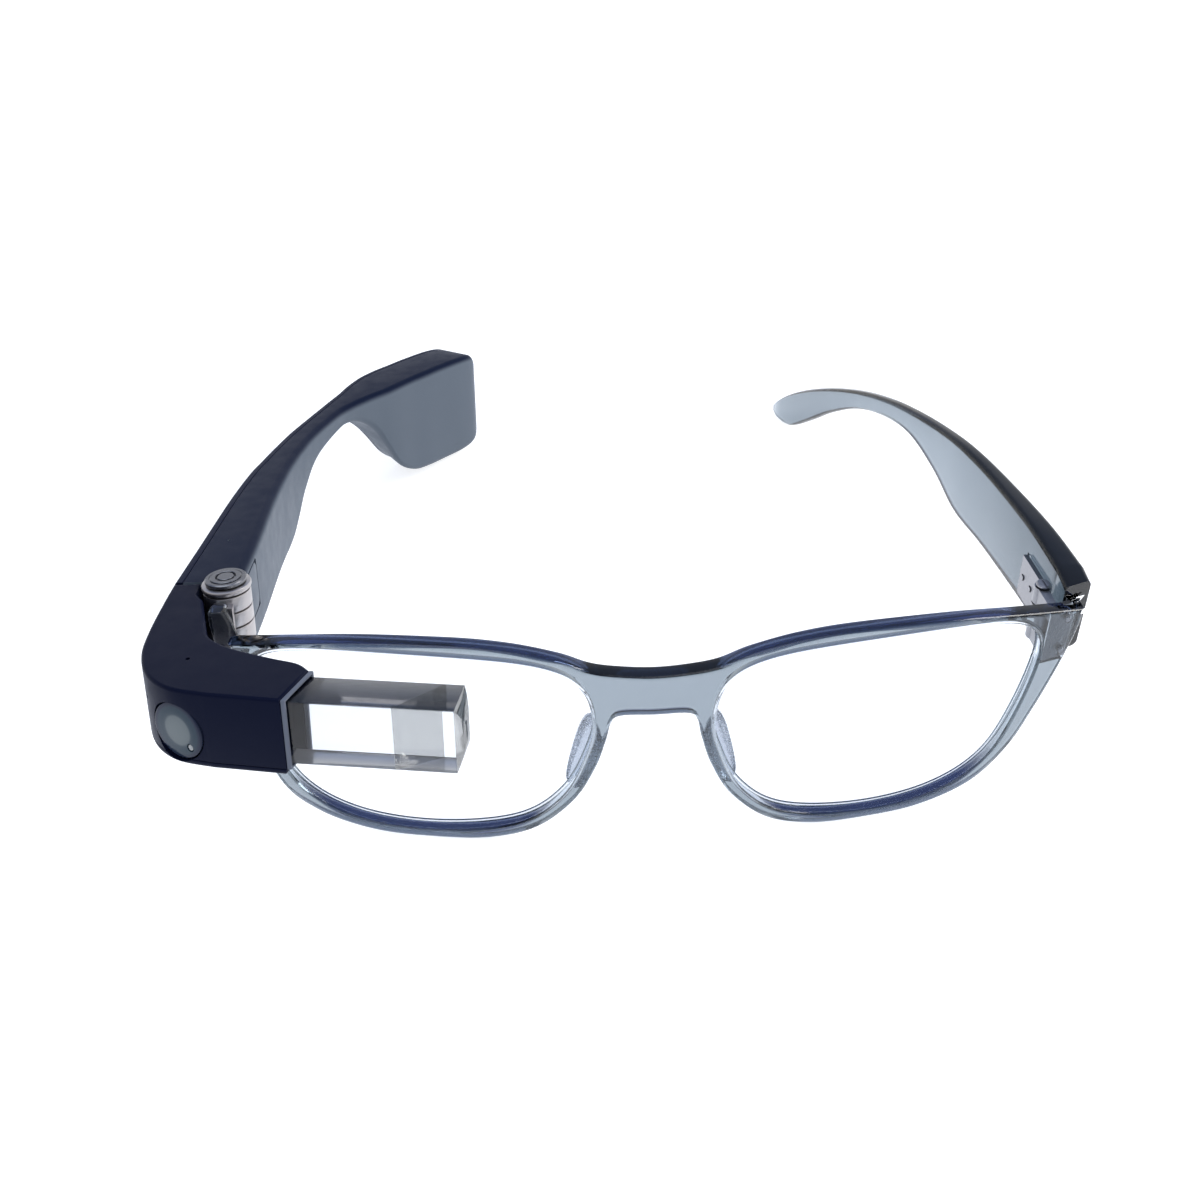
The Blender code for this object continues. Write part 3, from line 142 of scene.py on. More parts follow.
ARM_WEB_AT = (0.6, 2.6)      # bridge from the arm's hinge leaf to its knuckle
ARM_WEB_SIZE = (0.9, 4.6)
ARM_LEAF_POCKET_AT = (1.6, 7.6, -7.0)
ARM_LEAF_POCKET_SIZE = (3.8, 8.0, 8.4)
HINGE_COVER_AT = (1.46, 7.6, -7.0)
HINGE_COVER_SIZE = (0.5, 7.6, 8.1)
HINGE_COVER_YAW = math.radians(2.6)
BOARD_POCKET_AT = (-5.9, 27.5, -8.9)
BOARD_POCKET_SIZE = (5.6, 41.0, 10.6)
BATTERY_HEADING = math.radians(37.0)
BATTERY_AT = Vector((16.0, 109.4, -11.85))
# Boxes in the battery pod: size across, along and up, and place along, across and up.
BATTERY_POCKET = ((8.4, 20.5, 15.9), (1.25, 0.0, 0.0))
BATTERY_CELL = ((7.4, 17.2, 14.9), (2.3, 0.0, 0.0))
SPEAKER = ((4.0, 1.8, 7.0), (-7.7, -1.4, -3.35))
SOUND_SLIT = ((0.7, 14.0, 3.6), (-14.0, -1.4, -3.35))
USB_PORT = ((2.6, 8.9, 3.8), (4.0, 1.2, -10.45))
USB_MOUTH = ((1.6, 7.6, 3.0), (4.0, 1.2, -12.0))
USB_OPENING = ((3.2, 9.5, 6.1), (4.0, 1.2, -10.7))
NECK_STRIP_HEIGHT = -3.4
BUTTON_BASE = Vector((25.65, 120.2, -12.5))
BUTTON_AXIS = Vector((math.sin(BATTERY_HEADING), math.cos(BATTERY_HEADING), 0.0))
BUTTON_RADIUS = 1.6

HOUSING_BASE = -13.0
HOUSING_SLOPE_Y = (-17.0, 0.75)
HOUSING_DROP = 2.6
HOUSING_OUTLINE = [(-8.25, 0.75), (-8.05, -5.0), (-7.55, -13.0), (-6.6, -19.2), (-4.2, -24.6),
                   (-0.4, -28.2), (5.0, -30.1), (15.1, -32.2)]
HOUSING_BACK = [(17.56, -25.15), (15.6, -23.2), (11.6, -21.5), (6.3, -19.0), (3.0, -16.8),
                (0.9, -14.2), (-0.9, -9.0), (-2.3, -4.6)]
HOUSING_SEAM = [(-3.75, -2.6), (-4.1, 0.0), (-4.15, 0.75)]
DISPLAY_PIVOT = (-5.6, 0.95)
DISPLAY_BARREL_RADIUS = 1.3
DISPLAY_PIN_RADIUS = 0.6
DISPLAY_BARREL = (-11.7, -3.2)
PRISM_YAW = math.radians(-9.4)
PRISM_HEIGHT = 9.35
PRISM_DEPTH = 6.1
PRISM_TOP = -2.15
PRISM_LENGTH = 23.8
PRISM_TUCK = 2.0
# Where the black painted shade on the prism's tucked end stops.
PAINTED_SHADE_END = 1.2
PRISM_DOME = 1.0
PRISM_START = (14.36, -28.32)
SPLITTER_AT = 15.6
SPLITTER_RUN = 5.6
HOUSING_END_ALONG = (1.38, 2.64)
BEZEL_WIDTH = 0.55
BEZEL_THICKNESS = 0.5
MOUTH_CLEARANCE = 0.2
CAMERA_WINDOW_AT = Vector((0.3, -27.85, -8.2))
CAMERA_WINDOW_YAW = math.radians(-30.0)
CAMERA_AXIS = Vector((math.sin(CAMERA_WINDOW_YAW), -math.cos(CAMERA_WINDOW_YAW), 0))
CAMERA_SIDE = Vector((math.cos(CAMERA_WINDOW_YAW), math.sin(CAMERA_WINDOW_YAW), 0))
CAMERA_WINDOW_RADIUS = 4.3
LED_OFFSET = (2.0, -2.1)


# --- Mesh helpers, all in drawing millimetres ----------------------------------------------------
def make_object(name, shape, recalc=True):
    if recalc:
        bmesh.ops.recalc_face_normals(shape, faces=shape.faces)
        if shape.calc_volume(signed=True) < 0:
            bmesh.ops.reverse_faces(shape, faces=shape.faces)
    mesh = bpy.data.meshes.new(name)
    shape.to_mesh(mesh)
    shape.free()
    item = bpy.data.objects.new(name, mesh)
    bpy.context.scene.collection.objects.link(item)
    return item


def bake(item):
    """Apply an object's modifiers to its mesh."""
    bpy.context.view_layer.update()
    depsgraph = bpy.context.evaluated_depsgraph_get()
    mesh = bpy.data.meshes.new_from_object(item.evaluated_get(depsgraph))
    item.modifiers.clear()
    item.data = mesh
    return item


def boolean(item, others, operation, solver):
    for other in others:
        change = item.modifiers.new("shape", "BOOLEAN")
        change.operation = operation
        change.solver = solver
        change.object = other
    bake(item)
    for other in others:
        bpy.data.objects.remove(other, do_unlink=True)
    return item


def cut(item, *others, solver="MANIFOLD"):
    return boolean(item, others, "DIFFERENCE", solver)


def join(item, *others, solver="MANIFOLD"):
    return boolean(item, others, "UNION", solver)


def bevel(item, width, segments=3, angle=35.0):
    change = item.modifiers.new("round", "BEVEL")
    change.width = width
    change.segments = segments
    change.limit_method = "ANGLE"
    change.angle_limit = math.radians(angle)
    return bake(item)


def box(name, size, centre, yaw=0.0):
    shape = bmesh.new()
    bmesh.ops.create_cube(shape, size=1.0)
    bmesh.ops.scale(shape, vec=size, verts=shape.verts)
    bmesh.ops.rotate(shape, cent=(0, 0, 0), matrix=Matrix.Rotation(yaw, 3, "Z"), verts=shape.verts)
    bmesh.ops.translate(shape, vec=centre, verts=shape.verts)
    return make_object(name, shape)


def rod(name, radius, start, end, sides=64):
    start = Vector(start)
    end = Vector(end)
    shape = bmesh.new()
    bmesh.ops.create_cone(shape, cap_ends=True, segments=sides, radius1=radius, radius2=radius,
                          depth=(end - start).length)
    turn = (end - start).to_track_quat("Z", "Y").to_matrix().to_4x4()
    bmesh.ops.transform(shape, matrix=Matrix.Translation((start + end) / 2) @ turn,
                        verts=shape.verts)
    return make_object(name, shape)


def turned(name, profile, steps=96):
    """Spin a closed (radius, height) profile about the pod's hinge line."""
    shape = bmesh.new()
    ring = [shape.verts.new((radius, 0, height)) for radius, height in profile]
    edges = [shape.edges.new(pair) for pair in zip(ring, ring[1:])]
    bmesh.ops.spin(shape, geom=ring + edges, cent=(0, 0, 0), axis=(0, 0, 1), angle=2 * math.pi,
                   steps=steps, use_merge=True)
    bmesh.ops.remove_doubles(shape, verts=shape.verts, dist=0.0001)
    return make_object(name, shape)


def loft(name, rings):
    shape = bmesh.new()
    rows = [[shape.verts.new(point) for point in ring] for ring in rings]
    count = len(rows[0])
    for near, far in zip(rows, rows[1:]):
        for i in range(count):
            j = (i + 1) % count
            shape.faces.new((near[i], near[j], far[j], far[i]))
    shape.faces.new(rows[0])
    shape.faces.new(list(reversed(rows[-1])))
    return make_object(name, shape)


def smooth_path(points, closed=False, steps=10):
    count = len(points)
    path = []
    for i in range(count if closed else count - 1):
        if closed:
            around = [points[(i + k) % count] for k in (-1, 0, 1, 2)]
        else:
            around = [points[min(max(i + k, 0), count - 1)] for k in (-1, 0, 1, 2)]
        for step in range(steps):
            t = step / steps
            path.append(tuple(catmull_rom(values, t) for values in zip(*around)))
    if not closed:
        path.append(tuple(points[-1]))
    return path


def catmull_rom(values, t):
    before, start, end, after = values
    return 0.5 * (2 * start + (end - before) * t
                  + (2 * before - 5 * start + 4 * end - after) * t ** 2
                  + (3 * start - before - 3 * end + after) * t ** 3)


def turn_left_side_in(points, is_hole=False):
    """Order a closed outline so that the material lies on its left."""
    area = sum(x0 * y1 - x1 * y0 for (x0, y0), (x1, y1) in zip(points, points[1:] + points[:1]))
    return points if (area > 0) != is_hole else list(reversed(points))


def inset(points, distance):
    """Move an outline into its material; points that would cross at a convex corner meet there."""
    count = len(points)
    points = [Vector(point) for point in points]
    moved = []
    corners = []
    for i, here in enumerate(points):
        arriving = (here - points[i - 1]).normalized()
        leaving = (points[(i + 1) % count] - here).normalized()
        normal = Vector((-arriving.y - leaving.y, arriving.x + leaving.x)).normalized()
        cosine = max(normal.dot(Vector((-arriving.y, arriving.x))), 0.5)
        moved.append(here + normal * (distance / cosine))
        turn = arriving.cross(leaving)
        if abs(turn) > 0.4 and turn * distance > 0:
            corners.append((i, abs(distance) * math.sqrt(1 - cosine ** 2) / cosine))
    for corner, reach in corners:
        for step in (1, -1):
            i = corner
            travelled = 0.0
            while True:
                ahead = (i + step) % count
                travelled += (points[ahead] - points[i]).length
                if travelled >= reach:
                    break
                moved[ahead] = moved[corner]
                i = ahead
    return [tuple(point) for point in moved]


def rounded_plate(name, outline, holes, bottom, top, round_bottom, round_top, steps=4):
    """A plate with rounded edges, drawn in XY between two heights."""
    support = 0.06
    levels = [(round_bottom + support, bottom)]
    for step in range(steps + 1):
        angle = math.pi / 2 * step / steps
        levels.append((round_bottom * (1 - math.sin(angle)),
                       bottom + round_bottom * (1 - math.cos(angle))))
    for step in range(steps + 1):
        angle = math.pi / 2 * step / steps
        levels.append((round_top * (1 - math.cos(angle)), top - round_top * (1 - math.sin(angle))))
    levels.append((round_top + support, top))
    shape = bmesh.new()
    outlines = [turn_left_side_in(outline)] + [turn_left_side_in(hole, True) for hole in holes]
    for ring in outlines:
        rows = []
        for distance, height in levels:
            rows.append([shape.verts.new((x, y, height)) for x, y in inset(ring, distance)])
        for near, far in zip(rows, rows[1:]):
            for i in range(len(near)):
                shape.faces.new((near[i - 1], near[i], far[i], far[i - 1]))
    bmesh.ops.remove_doubles(shape, verts=shape.verts, dist=0.002)
    for height in (bottom, top):
        rim = [edge for edge in shape.edges if edge.is_boundary
               and all(abs(vert.co.z - height) < 0.001 for vert in edge.verts)]
        bmesh.ops.triangle_fill(shape, edges=rim, use_beauty=True, normal=(0, 0, 1))
    return make_object(name, shape)


def rounded_rectangle(x0, x1, z0, z1, radius_low, radius_high, arc_steps=6):
    corners = [(x1 - radius_high, z0 + radius_high, radius_high, -90),
               (x1 - radius_high, z1 - radius_high, radius_high, 0),
               (x0 + radius_low, z1 - radius_low, radius_low, 90),
               (x0 + radius_low, z0 + radius_low, radius_low, 180)]
    ring = []
    for x, z, radius, start in corners:
        for step in range(arc_steps + 1):
            angle = math.radians(start + 90 * step / arc_steps)
            ring.append((x + radius * math.cos(angle), z + radius * math.sin(angle)))
    return ring


def place(item, axes, body, look, nodes=(), smooth_angle=35.0):
    """Move a finished piece to the row frame, dress it, and tie it to its body."""
    item.data.transform(axes)
    item.data.materials.clear()
    item.data.materials.append(look)
    item.data.shade_smooth()
    item.data.set_sharp_from_angle(angle=math.radians(smooth_angle))
    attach(item, body)
    if nodes:
        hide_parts(*nodes)
    return item


# --- Material helpers ----------------------------------------------------------------------------
def new_look(name):
    look = bpy.data.materials.new(name)
    look.use_nodes = True
    return look, look.node_tree


def add(tree, kind, inputs=None, **settings):
    """Add a shader node; an input given as a socket is linked, and any other value is set."""
    node = tree.nodes.new("ShaderNode" + kind)
    for name, value in settings.items():
        setattr(node, name, value)
    for key, value in (inputs or {}).items():
        if isinstance(value, bpy.types.NodeSocket):
            tree.links.new(value, node.inputs[key])
        else:
            node.inputs[key].default_value = value
    return node


def rgba(red, green, blue):
    return (red, green, blue, 1.0)


def object_place(tree, scale=(1, 1, 1)):
    coordinates = add(tree, "TexCoord")
    return add(tree, "Mapping", {"Vector": coordinates.outputs["Object"], "Scale": scale}).outputs[0]


def noise(tree, scale, detail=3.0, stretch=(1, 1, 1)):
    return add(tree, "TexNoise", {"Vector": object_place(tree, stretch), "Scale": scale,
                                  "Detail": detail}).outputs["Fac"]


def blend_colours(tree, factor, first, second):
    return add(tree, "MixRGB", {"Fac": factor, "Color1": first, "Color2": second}).outputs[0]


def remap(tree, value, low, high, from_low=0.3, from_high=0.7):
    return add(tree, "MapRange", {"Value": value, "From Min": from_low, "From Max": from_high,
                                  "To Min": low, "To Max": high}).outputs[0]


def bump(tree, height, distance, strength=1.0, normal=None):
    inputs = {"Height": height, "Distance": distance, "Strength": strength}
    if normal is not None:
        inputs["Normal"] = normal
    return add(tree, "Bump", inputs).outputs[0]


def shade(tree, inputs):
    """Set the Principled shader's inputs, and return it."""
    shader = tree.nodes["Principled BSDF"]
    for key, value in inputs.items():
        if isinstance(value, bpy.types.NodeSocket):
            tree.links.new(value, shader.inputs[key])
        else:
            shader.inputs[key].default_value = value
    return shader


def let_light_through(tree, surface, tint):
    """Let shadow rays pass a clear solid with a tint, so its shadow stays light."""
    path = add(tree, "LightPath").outputs["Is Shadow Ray"]
    clear = add(tree, "BsdfTransparent", {"Color": rgba(*tint)}).outputs[0]
    mixed = add(tree, "MixShader", {0: path, 1: surface, 2: clear}).outputs[0]
    tree.links.new(mixed, tree.nodes["Material Output"].inputs["Surface"])


# --- Materials -----------------------------------------------------------------------------------
# Navy painted on the clear frame's upward faces: a painted reflection of the sky.
PAINTED_SKY_REFLECTION_TINT = (0.035, 0.05, 0.14)


def crystal_look(name, absorption, tint, roughness=0.015):
    """Polished clear acetate: refraction, faint polishing waves, a blue-grey depth tint, and a painted
    navy reflection of the sky on faces that look up.
    """
    look, tree = new_look(name)
    waves = noise(tree, 260.0, 2.0)
    haze = remap(tree, noise(tree, 900.0), roughness, roughness + 0.03)
    # Faces that look up get the navy tint by their normal: painted sky reflection.
    up = add(tree, "SeparateXYZ", {0: add(tree, "TexCoord").outputs["Normal"]}).outputs["Z"]
    painted_sky_reflection = add(tree, "MapRange", {"Value": up, "From Min": 0.35, "From Max": 0.9},
                   interpolation_type="SMOOTHSTEP").outputs[0]
    colour = blend_colours(tree, painted_sky_reflection, rgba(0.97, 0.98, 1.0), rgba(*PAINTED_SKY_REFLECTION_TINT))
    shader = shade(tree, {"Base Color": colour, "Transmission Weight": 1.0,
                          "IOR": 1.47, "Roughness": haze, "Normal": bump(tree, waves, 0.00002)})
    let_light_through(tree, shader.outputs[0], tint)
    volume = add(tree, "VolumeAbsorption", {"Color": rgba(*absorption), "Density": 640.0})
    tree.links.new(volume.outputs[0], tree.nodes["Material Output"].inputs["Volume"])
    return look


def lens_look():
    """Clear lens sheet with a faint coating reflection."""
    look, tree = new_look("clear_lens")
    coating = remap(tree, noise(tree, 40.0), 0.02, 0.05)
    glossy = add(tree, "BsdfGlossy", {"Color": rgba(0.85, 0.92, 1.0), "Roughness": coating})
    clear = add(tree, "BsdfTransparent", {"Color": rgba(0.985, 0.99, 0.995)})
    edge = add(tree, "LayerWeight", {"Blend": 0.12}).outputs["Fresnel"]
    weight = add(tree, "Math", {0: edge, 1: 0.35}, operation="MULTIPLY").outputs[0]
    mixed = add(tree, "MixShader", {0: weight, 1: clear.outputs[0], 2: glossy.outputs[0]})
    tree.links.new(mixed.outputs[0], tree.nodes["Material Output"].inputs["Surface"])
    return look


def silicone_look():
    look, tree = new_look("pad_silicone")
    grain = noise(tree, 2500.0)
    shader = shade(tree, {"Base Color": rgba(0.50, 0.54, 0.61), "Transmission Weight": 0.92,
                          "IOR": 1.41, "Roughness": remap(tree, grain, 0.18, 0.32),
                          "Normal": bump(tree, grain, 0.00002)})
    let_light_through(tree, shader.outputs[0], (0.75, 0.8, 0.86))
    return look


def pod_look(name, top_colour, painted_lit_side_colour=None, roughness=0.42):
    """Soft matte moulded plastic with a fine grain; faces that don't look up may get a paler colour,
    which is painted light on the lit sides.
    """
    look, tree = new_look(name)
    grain = noise(tree, 9000.0, 2.0)
    cloud = noise(tree, 90.0)
    colour = blend_colours(tree, cloud, rgba(*top_colour), rgba(*[c * 1.15 for c in top_colour]))
    # Sides paler than the top by their normal: painted light.
    if painted_lit_side_colour:
        side = blend_colours(tree, cloud, rgba(*painted_lit_side_colour), rgba(*[c * 1.1 for c in painted_lit_side_colour]))
        normal = add(tree, "TexCoord").outputs["Normal"]
        up = add(tree, "SeparateXYZ", {0: normal}).outputs["Z"]
        facing = add(tree, "MapRange", {"Value": up, "From Min": 0.15, "From Max": 0.8},
                     interpolation_type="SMOOTHSTEP").outputs[0]
        colour = blend_colours(tree, facing, side, colour)
    scuff = remap(tree, noise(tree, 350.0, 6.0), roughness - 0.04, roughness + 0.06)
    shade(tree, {"Base Color": colour, "Roughness": scuff, "Specular IOR Level": 0.06,
                 "Specular Tint": rgba(0.55, 0.68, 1.0), "Sheen Weight": 0.03,
                 "Sheen Tint": rgba(0.35, 0.45, 0.8), "Normal": bump(tree, grain, 0.000008)})
    return look


def steel_look(name, colour, roughness=0.24, around_z=False):
    """Satin steel with fine machining lines."""
    look, tree = new_look(name)
    stretch = (1, 1, 40) if around_z else (1, 40, 1)
    lines = noise(tree, 700.0, 4.0, stretch)
    tone = blend_colours(tree, noise(tree, 300.0), rgba(*colour), rgba(*[c * 0.86 for c in colour]))
    shade(tree, {"Base Color": tone, "Metallic": 1.0,
                 "Roughness": remap(tree, lines, roughness, roughness + 0.14),
                 "Normal": bump(tree, lines, 0.000006)})
    return look


def prism_glass_look(name, tint, painted_grey=None):
    """Clear optical glass; an optional grey mixed into the surface is a painted reflection."""
    look, tree = new_look(name)
    smudge = remap(tree, noise(tree, 120.0, 5.0), 0.0, 0.03, 0.45, 0.8)
    shader = shade(tree, {"Base Color": rgba(*tint), "Transmission Weight": 1.0,
                          "IOR": 1.49, "Roughness": smudge, "Specular IOR Level": 0.3})
    surface = shader.outputs[0]
    if painted_grey:
        grey = add(tree, "BsdfDiffuse", {"Color": rgba(*painted_grey)}).outputs[0]
        surface = add(tree, "MixShader", {0: 0.6, 1: surface, 2: grey}).outputs[0]
    let_light_through(tree, surface, (0.85, 0.87, 0.9))
    volume = add(tree, "VolumeAbsorption", {"Color": rgba(0.86, 0.87, 0.88), "Density": 160.0})
    tree.links.new(volume.outputs[0], tree.nodes["Material Output"].inputs["Volume"])
    return look


def film_look(name, tint, reflect, colour=(0.8, 0.8, 0.78)):
    """Thin partly mirrored coating: part of the light passes, tinted, and part is reflected."""
    look, tree = new_look(name)
    clear = add(tree, "BsdfTransparent", {"Color": rgba(*tint)}).outputs[0]
    roughness = remap(tree, noise(tree, 500.0), 0.02, 0.08)
    glossy = add(tree, "BsdfGlossy", {"Color": rgba(*colour), "Roughness": roughness}).outputs[0]
    mixed = add(tree, "MixShader", {0: reflect, 1: clear, 2: glossy}).outputs[0]
    tree.links.new(mixed, tree.nodes["Material Output"].inputs["Surface"])
    return look


def window_look(centre, radius):
    """Camera window: dark rim, grey-blue ring and a paler middle, which is the lens behind the glass with
    a painted soft highlight.
    """
    look, tree = new_look("camera_window_glass")
    place_in = add(tree, "TexCoord").outputs["Object"]
    offset = add(tree, "VectorMath", {0: place_in, 1: tuple(centre)}, operation="SUBTRACT").outputs[0]
    distance = add(tree, "VectorMath", {0: offset}, operation="LENGTH").outputs["Value"]
    share = add(tree, "Math", {0: distance, 1: radius}, operation="DIVIDE").outputs[0]
    rings = add(tree, "ValToRGB", {"Fac": share})
    ramp = rings.color_ramp
    ramp.interpolation = "B_SPLINE"
    # The pale middle stops are the lens with a painted highlight; the darker rings are the window's own
    # colour.
    ring_and_highlight_stops = [(0.0, (0.115, 0.135, 0.14)), (0.48, (0.12, 0.14, 0.145)), (0.56, (0.020, 0.036, 0.052)),
             (0.80, (0.022, 0.040, 0.056)), (0.88, (0.015, 0.02, 0.04)), (1.0, (0.01, 0.014, 0.03))]
    while len(ramp.elements) < len(ring_and_highlight_stops):
        ramp.elements.new(0.5)
    for element, (position, colour) in zip(ramp.elements, ring_and_highlight_stops):
        element.position = position
        element.color = rgba(*colour)
    dust = remap(tree, noise(tree, 1500.0), 0.08, 0.16)
    shade(tree, {"Base Color": rings.outputs["Color"], "Roughness": dust, "Coat Weight": 0.05,
                 "Coat Roughness": 0.03, "Specular IOR Level": 0.12})
    return look


def board_look():
    look, tree = new_look("board_laminate")
    traces = add(tree, "TexBrick", {"Vector": object_place(tree), "Scale": 700.0,
                                    "Color1": rgba(0.01, 0.12, 0.06), "Color2": rgba(0.015, 0.16, 0.08),
                                    "Mortar": rgba(0.45, 0.34, 0.12)}).outputs["Color"]
    shade(tree, {"Base Color": traces, "Roughness": remap(tree, noise(tree, 2000.0), 0.3, 0.45)})
    return look


def chip_look():
    look, tree = new_look("moulded_chip")
    grain = noise(tree, 8000.0)
    tone = blend_colours(tree, grain, rgba(0.018, 0.018, 0.02), rgba(0.04, 0.04, 0.045))
    shade(tree, {"Base Color": tone, "Roughness": 0.5, "Normal": bump(tree, grain, 0.00001)})
    return look


def flex_look():
    look, tree = new_look("copper_flex")
    lines = add(tree, "TexWave", {"Vector": object_place(tree), "Scale": 900.0, "Distortion": 0.4})
    tone = blend_colours(tree, lines.outputs["Fac"], rgba(0.55, 0.26, 0.06), rgba(0.75, 0.42, 0.12))
    shade(tree, {"Base Color": tone, "Roughness": 0.35, "Coat Weight": 0.3})
    return look


def foil_look():
    look, tree = new_look("battery_foil")
    creases = noise(tree, 350.0, 6.0)
    shade(tree, {"Base Color": rgba(0.62, 0.63, 0.66), "Metallic": 0.9,
                 "Roughness": remap(tree, creases, 0.25, 0.45), "Normal": bump(tree, creases, 0.0001)})
    return look


def led_look():
    look, tree = new_look("led_lens")
    cloud = noise(tree, 3000.0)
    tone = blend_colours(tree, cloud, rgba(0.20, 0.21, 0.21), rgba(0.27, 0.28, 0.28))
    shade(tree, {"Base Color": tone, "Roughness": 0.25, "Coat Weight": 0.1})
    return look


def floor_look():
    look, tree = new_look("studio_floor")
    cloud = noise(tree, 3.0)
    tone = blend_colours(tree, cloud, rgba(0.61, 0.615, 0.62), rgba(0.63, 0.635, 0.64))
    shade(tree, {"Base Color": tone, "Roughness": 0.9, "Specular IOR Level": 0.05,
                 "Emission Color": rgba(1.0, 1.0, 1.0), "Emission Strength": 0.72})
    return look


CRYSTAL = crystal_look("crystal_front", (0.36, 0.43, 0.475), (0.72, 0.77, 0.81))
CRYSTAL_TEMPLE = crystal_look("crystal_temple", (0.36, 0.43, 0.475), (0.72, 0.77, 0.81))
LENS = lens_look()
SILICONE = silicone_look()
# The pod's second colour is painted light on the sides of the arm and battery.
POD_PLASTIC = pod_look("pod_plastic", (0.004, 0.007, 0.019), (0.088, 0.104, 0.124))
HOUSING_PLASTIC = pod_look("housing_plastic", (0.002, 0.003, 0.012))
TOUCH_PLASTIC = pod_look("touch_plastic", (0.004, 0.006, 0.018), roughness=0.38)
# The collar's grey, paler than the housing, is a painted highlight on the housing's end edge.
HIGHLIGHT_BEZEL_PLASTIC = pod_look("bezel_painted_highlight_plastic", (0.10, 0.11, 0.135), roughness=0.35)
STEEL = steel_look("hinge_steel", (0.30, 0.30, 0.32))
BARREL_STEEL = steel_look("barrel_steel", (0.47, 0.445, 0.44), 0.26, True)
CAP_STEEL = steel_look("cap_steel", (0.20, 0.20, 0.21), 0.22, True)
PRISM_GLASS = prism_glass_look("prism_glass", (0.91, 0.925, 0.945))
# Top faces get a warm tint as painted shade, and bottom faces get a grey as painted reflection.
PRISM_TOP_SHADE_GLASS = prism_glass_look("prism_top_painted_shade_glass", (1.0, 0.95, 0.94))
PRISM_FOOT_REFLECTION_GLASS = prism_glass_look("prism_foot_painted_reflection_glass", (0.7, 0.7, 0.72), (0.26, 0.26, 0.275))
SPLITTER_FILM = film_look("splitter_film", (0.74, 0.74, 0.73), 0.10)
END_MIRROR = film_look("end_mirror", (0.93, 0.93, 0.93), 0.15)
BOARD = board_look()
CHIP = chip_look()
FLEX = flex_look()
FOIL = foil_look()
LED = led_look()


# --- Spectacle front -----------------------------------------------------------------------------
def front_face(x, z):
    return WRAP_DEPTH * (x / WRAP_HALF_WIDTH) ** 2 - z * math.tan(PANTOSCOPIC_TILT)


def back_face(x, z):
    return front_face(x, z) + FRONT_DEPTH


def curved_plate(name, outline, holes, front_offset, thickness, edge_round):
    """A rounded plate bent to the wrap of the front, front_offset behind its front face."""
    item = rounded_plate(name, outline, holes, 0.0, thickness, edge_round, edge_round)
    for vert in item.data.vertices:
        x, z, depth = vert.co
        vert.co = (x, front_face(x, z) + front_offset + depth, z)
    item.data.flip_normals()
    return item


def front_outline():
    left_half = RIM_TOP + RIM_END + RIM_BOTTOM + BRIDGE_UNDERSIDE
    right_half = RIM_TOP[:-1] + POD_SIDE_END + RIM_BOTTOM[1:] + BRIDGE_UNDERSIDE
    points = [(0.0, BRIDGE_TOP_HEIGHT)] + left_half + [(0.0, BRIDGE_BOTTOM_HEIGHT)]
    return smooth_path(points + [(-x, z) for x, z in reversed(right_half)], closed=True)


def lens_opening(side):
    return [(side * x, z) for x, z in smooth_path(OPENING, closed=True)]


def grown(outline, distance):
    return inset(turn_left_side_in(outline), -distance)


def pod_plane_y(local_y, z):
    rise = (z - POD_HINGE.z) * math.sin(POD_LEAN)
    return POD_HINGE.y + (local_y + rise) / math.cos(POD_LEAN)


def pod_side_lug():
    rings = []
    for z, left, right, inset in smooth_path(LUG_STATIONS, steps=4):
        back = pod_plane_y(POD_LEAF_AT[1] + LEAF_THICKNESS / 2, z) - inset
        front = front_face(left, z) + LUG_FRONT
        ring = rounded_rectangle(left, right, front, back, 0.5, 0.5, 4)
        rings.append([(x, y, z) for x, y in ring])
    return loft("pod_side_lug", rings)


def leaf_recess():
    x0, x1 = LEFT_LEAF_X
    z0, z1 = LEFT_LEAF_Z
    rings = []
    for z in (z0 - GAP, z1 + GAP):
        floor_left = back_face(x0, z) - LEAF_THICKNESS - GAP
        floor_right = back_face(x1, z) - LEAF_THICKNESS - GAP
        rings.append([(x0 - GAP, floor_left, z), (x1 + GAP, floor_right, z),
                      (x1 + GAP, back_face(x1, z) + 1.0, z), (x0 - GAP, back_face(x0, z) + 1.0, z)])
    return loft("leaf_recess", rings)


def in_pod(item):
    """Bring a cutter drawn in the pod's axes into the drawing's axes."""
    item.data.transform(DRAWING.inverted() @ POD_AXES)
    return item


def build_front():
    front = curved_plate("front_rim", front_outline(), [lens_opening(1), lens_opening(-1)], 0.0,
                         FRONT_DEPTH, 0.55)
    join(front, pod_side_lug())
    groove_width = LENS_THICKNESS + 2 * GAP
    for side in (1, -1):
        groove = curved_plate("groove", grown(lens_opening(side), GROOVE_DEPTH), [],
                              (FRONT_DEPTH - groove_width) / 2, groove_width, 0.15)
        cut(front, groove)
    leaf_x, leaf_y, leaf_z = POD_LEAF_SIZE
    pod_recess = box("pod_recess", (leaf_x + 2.6, leaf_y + 2 * GAP, leaf_z + 2 * GAP), POD_LEAF_AT)
    cut(front, leaf_recess(), in_pod(pod_recess))
    for z in (LEFT_LEAF_Z[0] + 1.8, LEFT_LEAF_Z[1] - 1.8):
        x = sum(LEFT_LEAF_X) / 2 + 1.0
        y = back_face(x, z)
        cut(front, rod("rivet_hole", RIVET_HOLE_RADIUS, (x, y - 2.0, z), (x, y + 0.9, z), 24))
    place(front, DRAWING, "front", CRYSTAL, ["front_frame"], 28.0)

    for side, word in ((1, "left"), (-1, "right")):
        lens = curved_plate("clear_lens_" + word, grown(lens_opening(side), LENS_TUCK), [],
                            (FRONT_DEPTH - LENS_THICKNESS) / 2, LENS_THICKNESS, 0.2)
        place(lens, DRAWING, "front", LENS, ["lens_" + word])
        build_nose_pad(side, word)


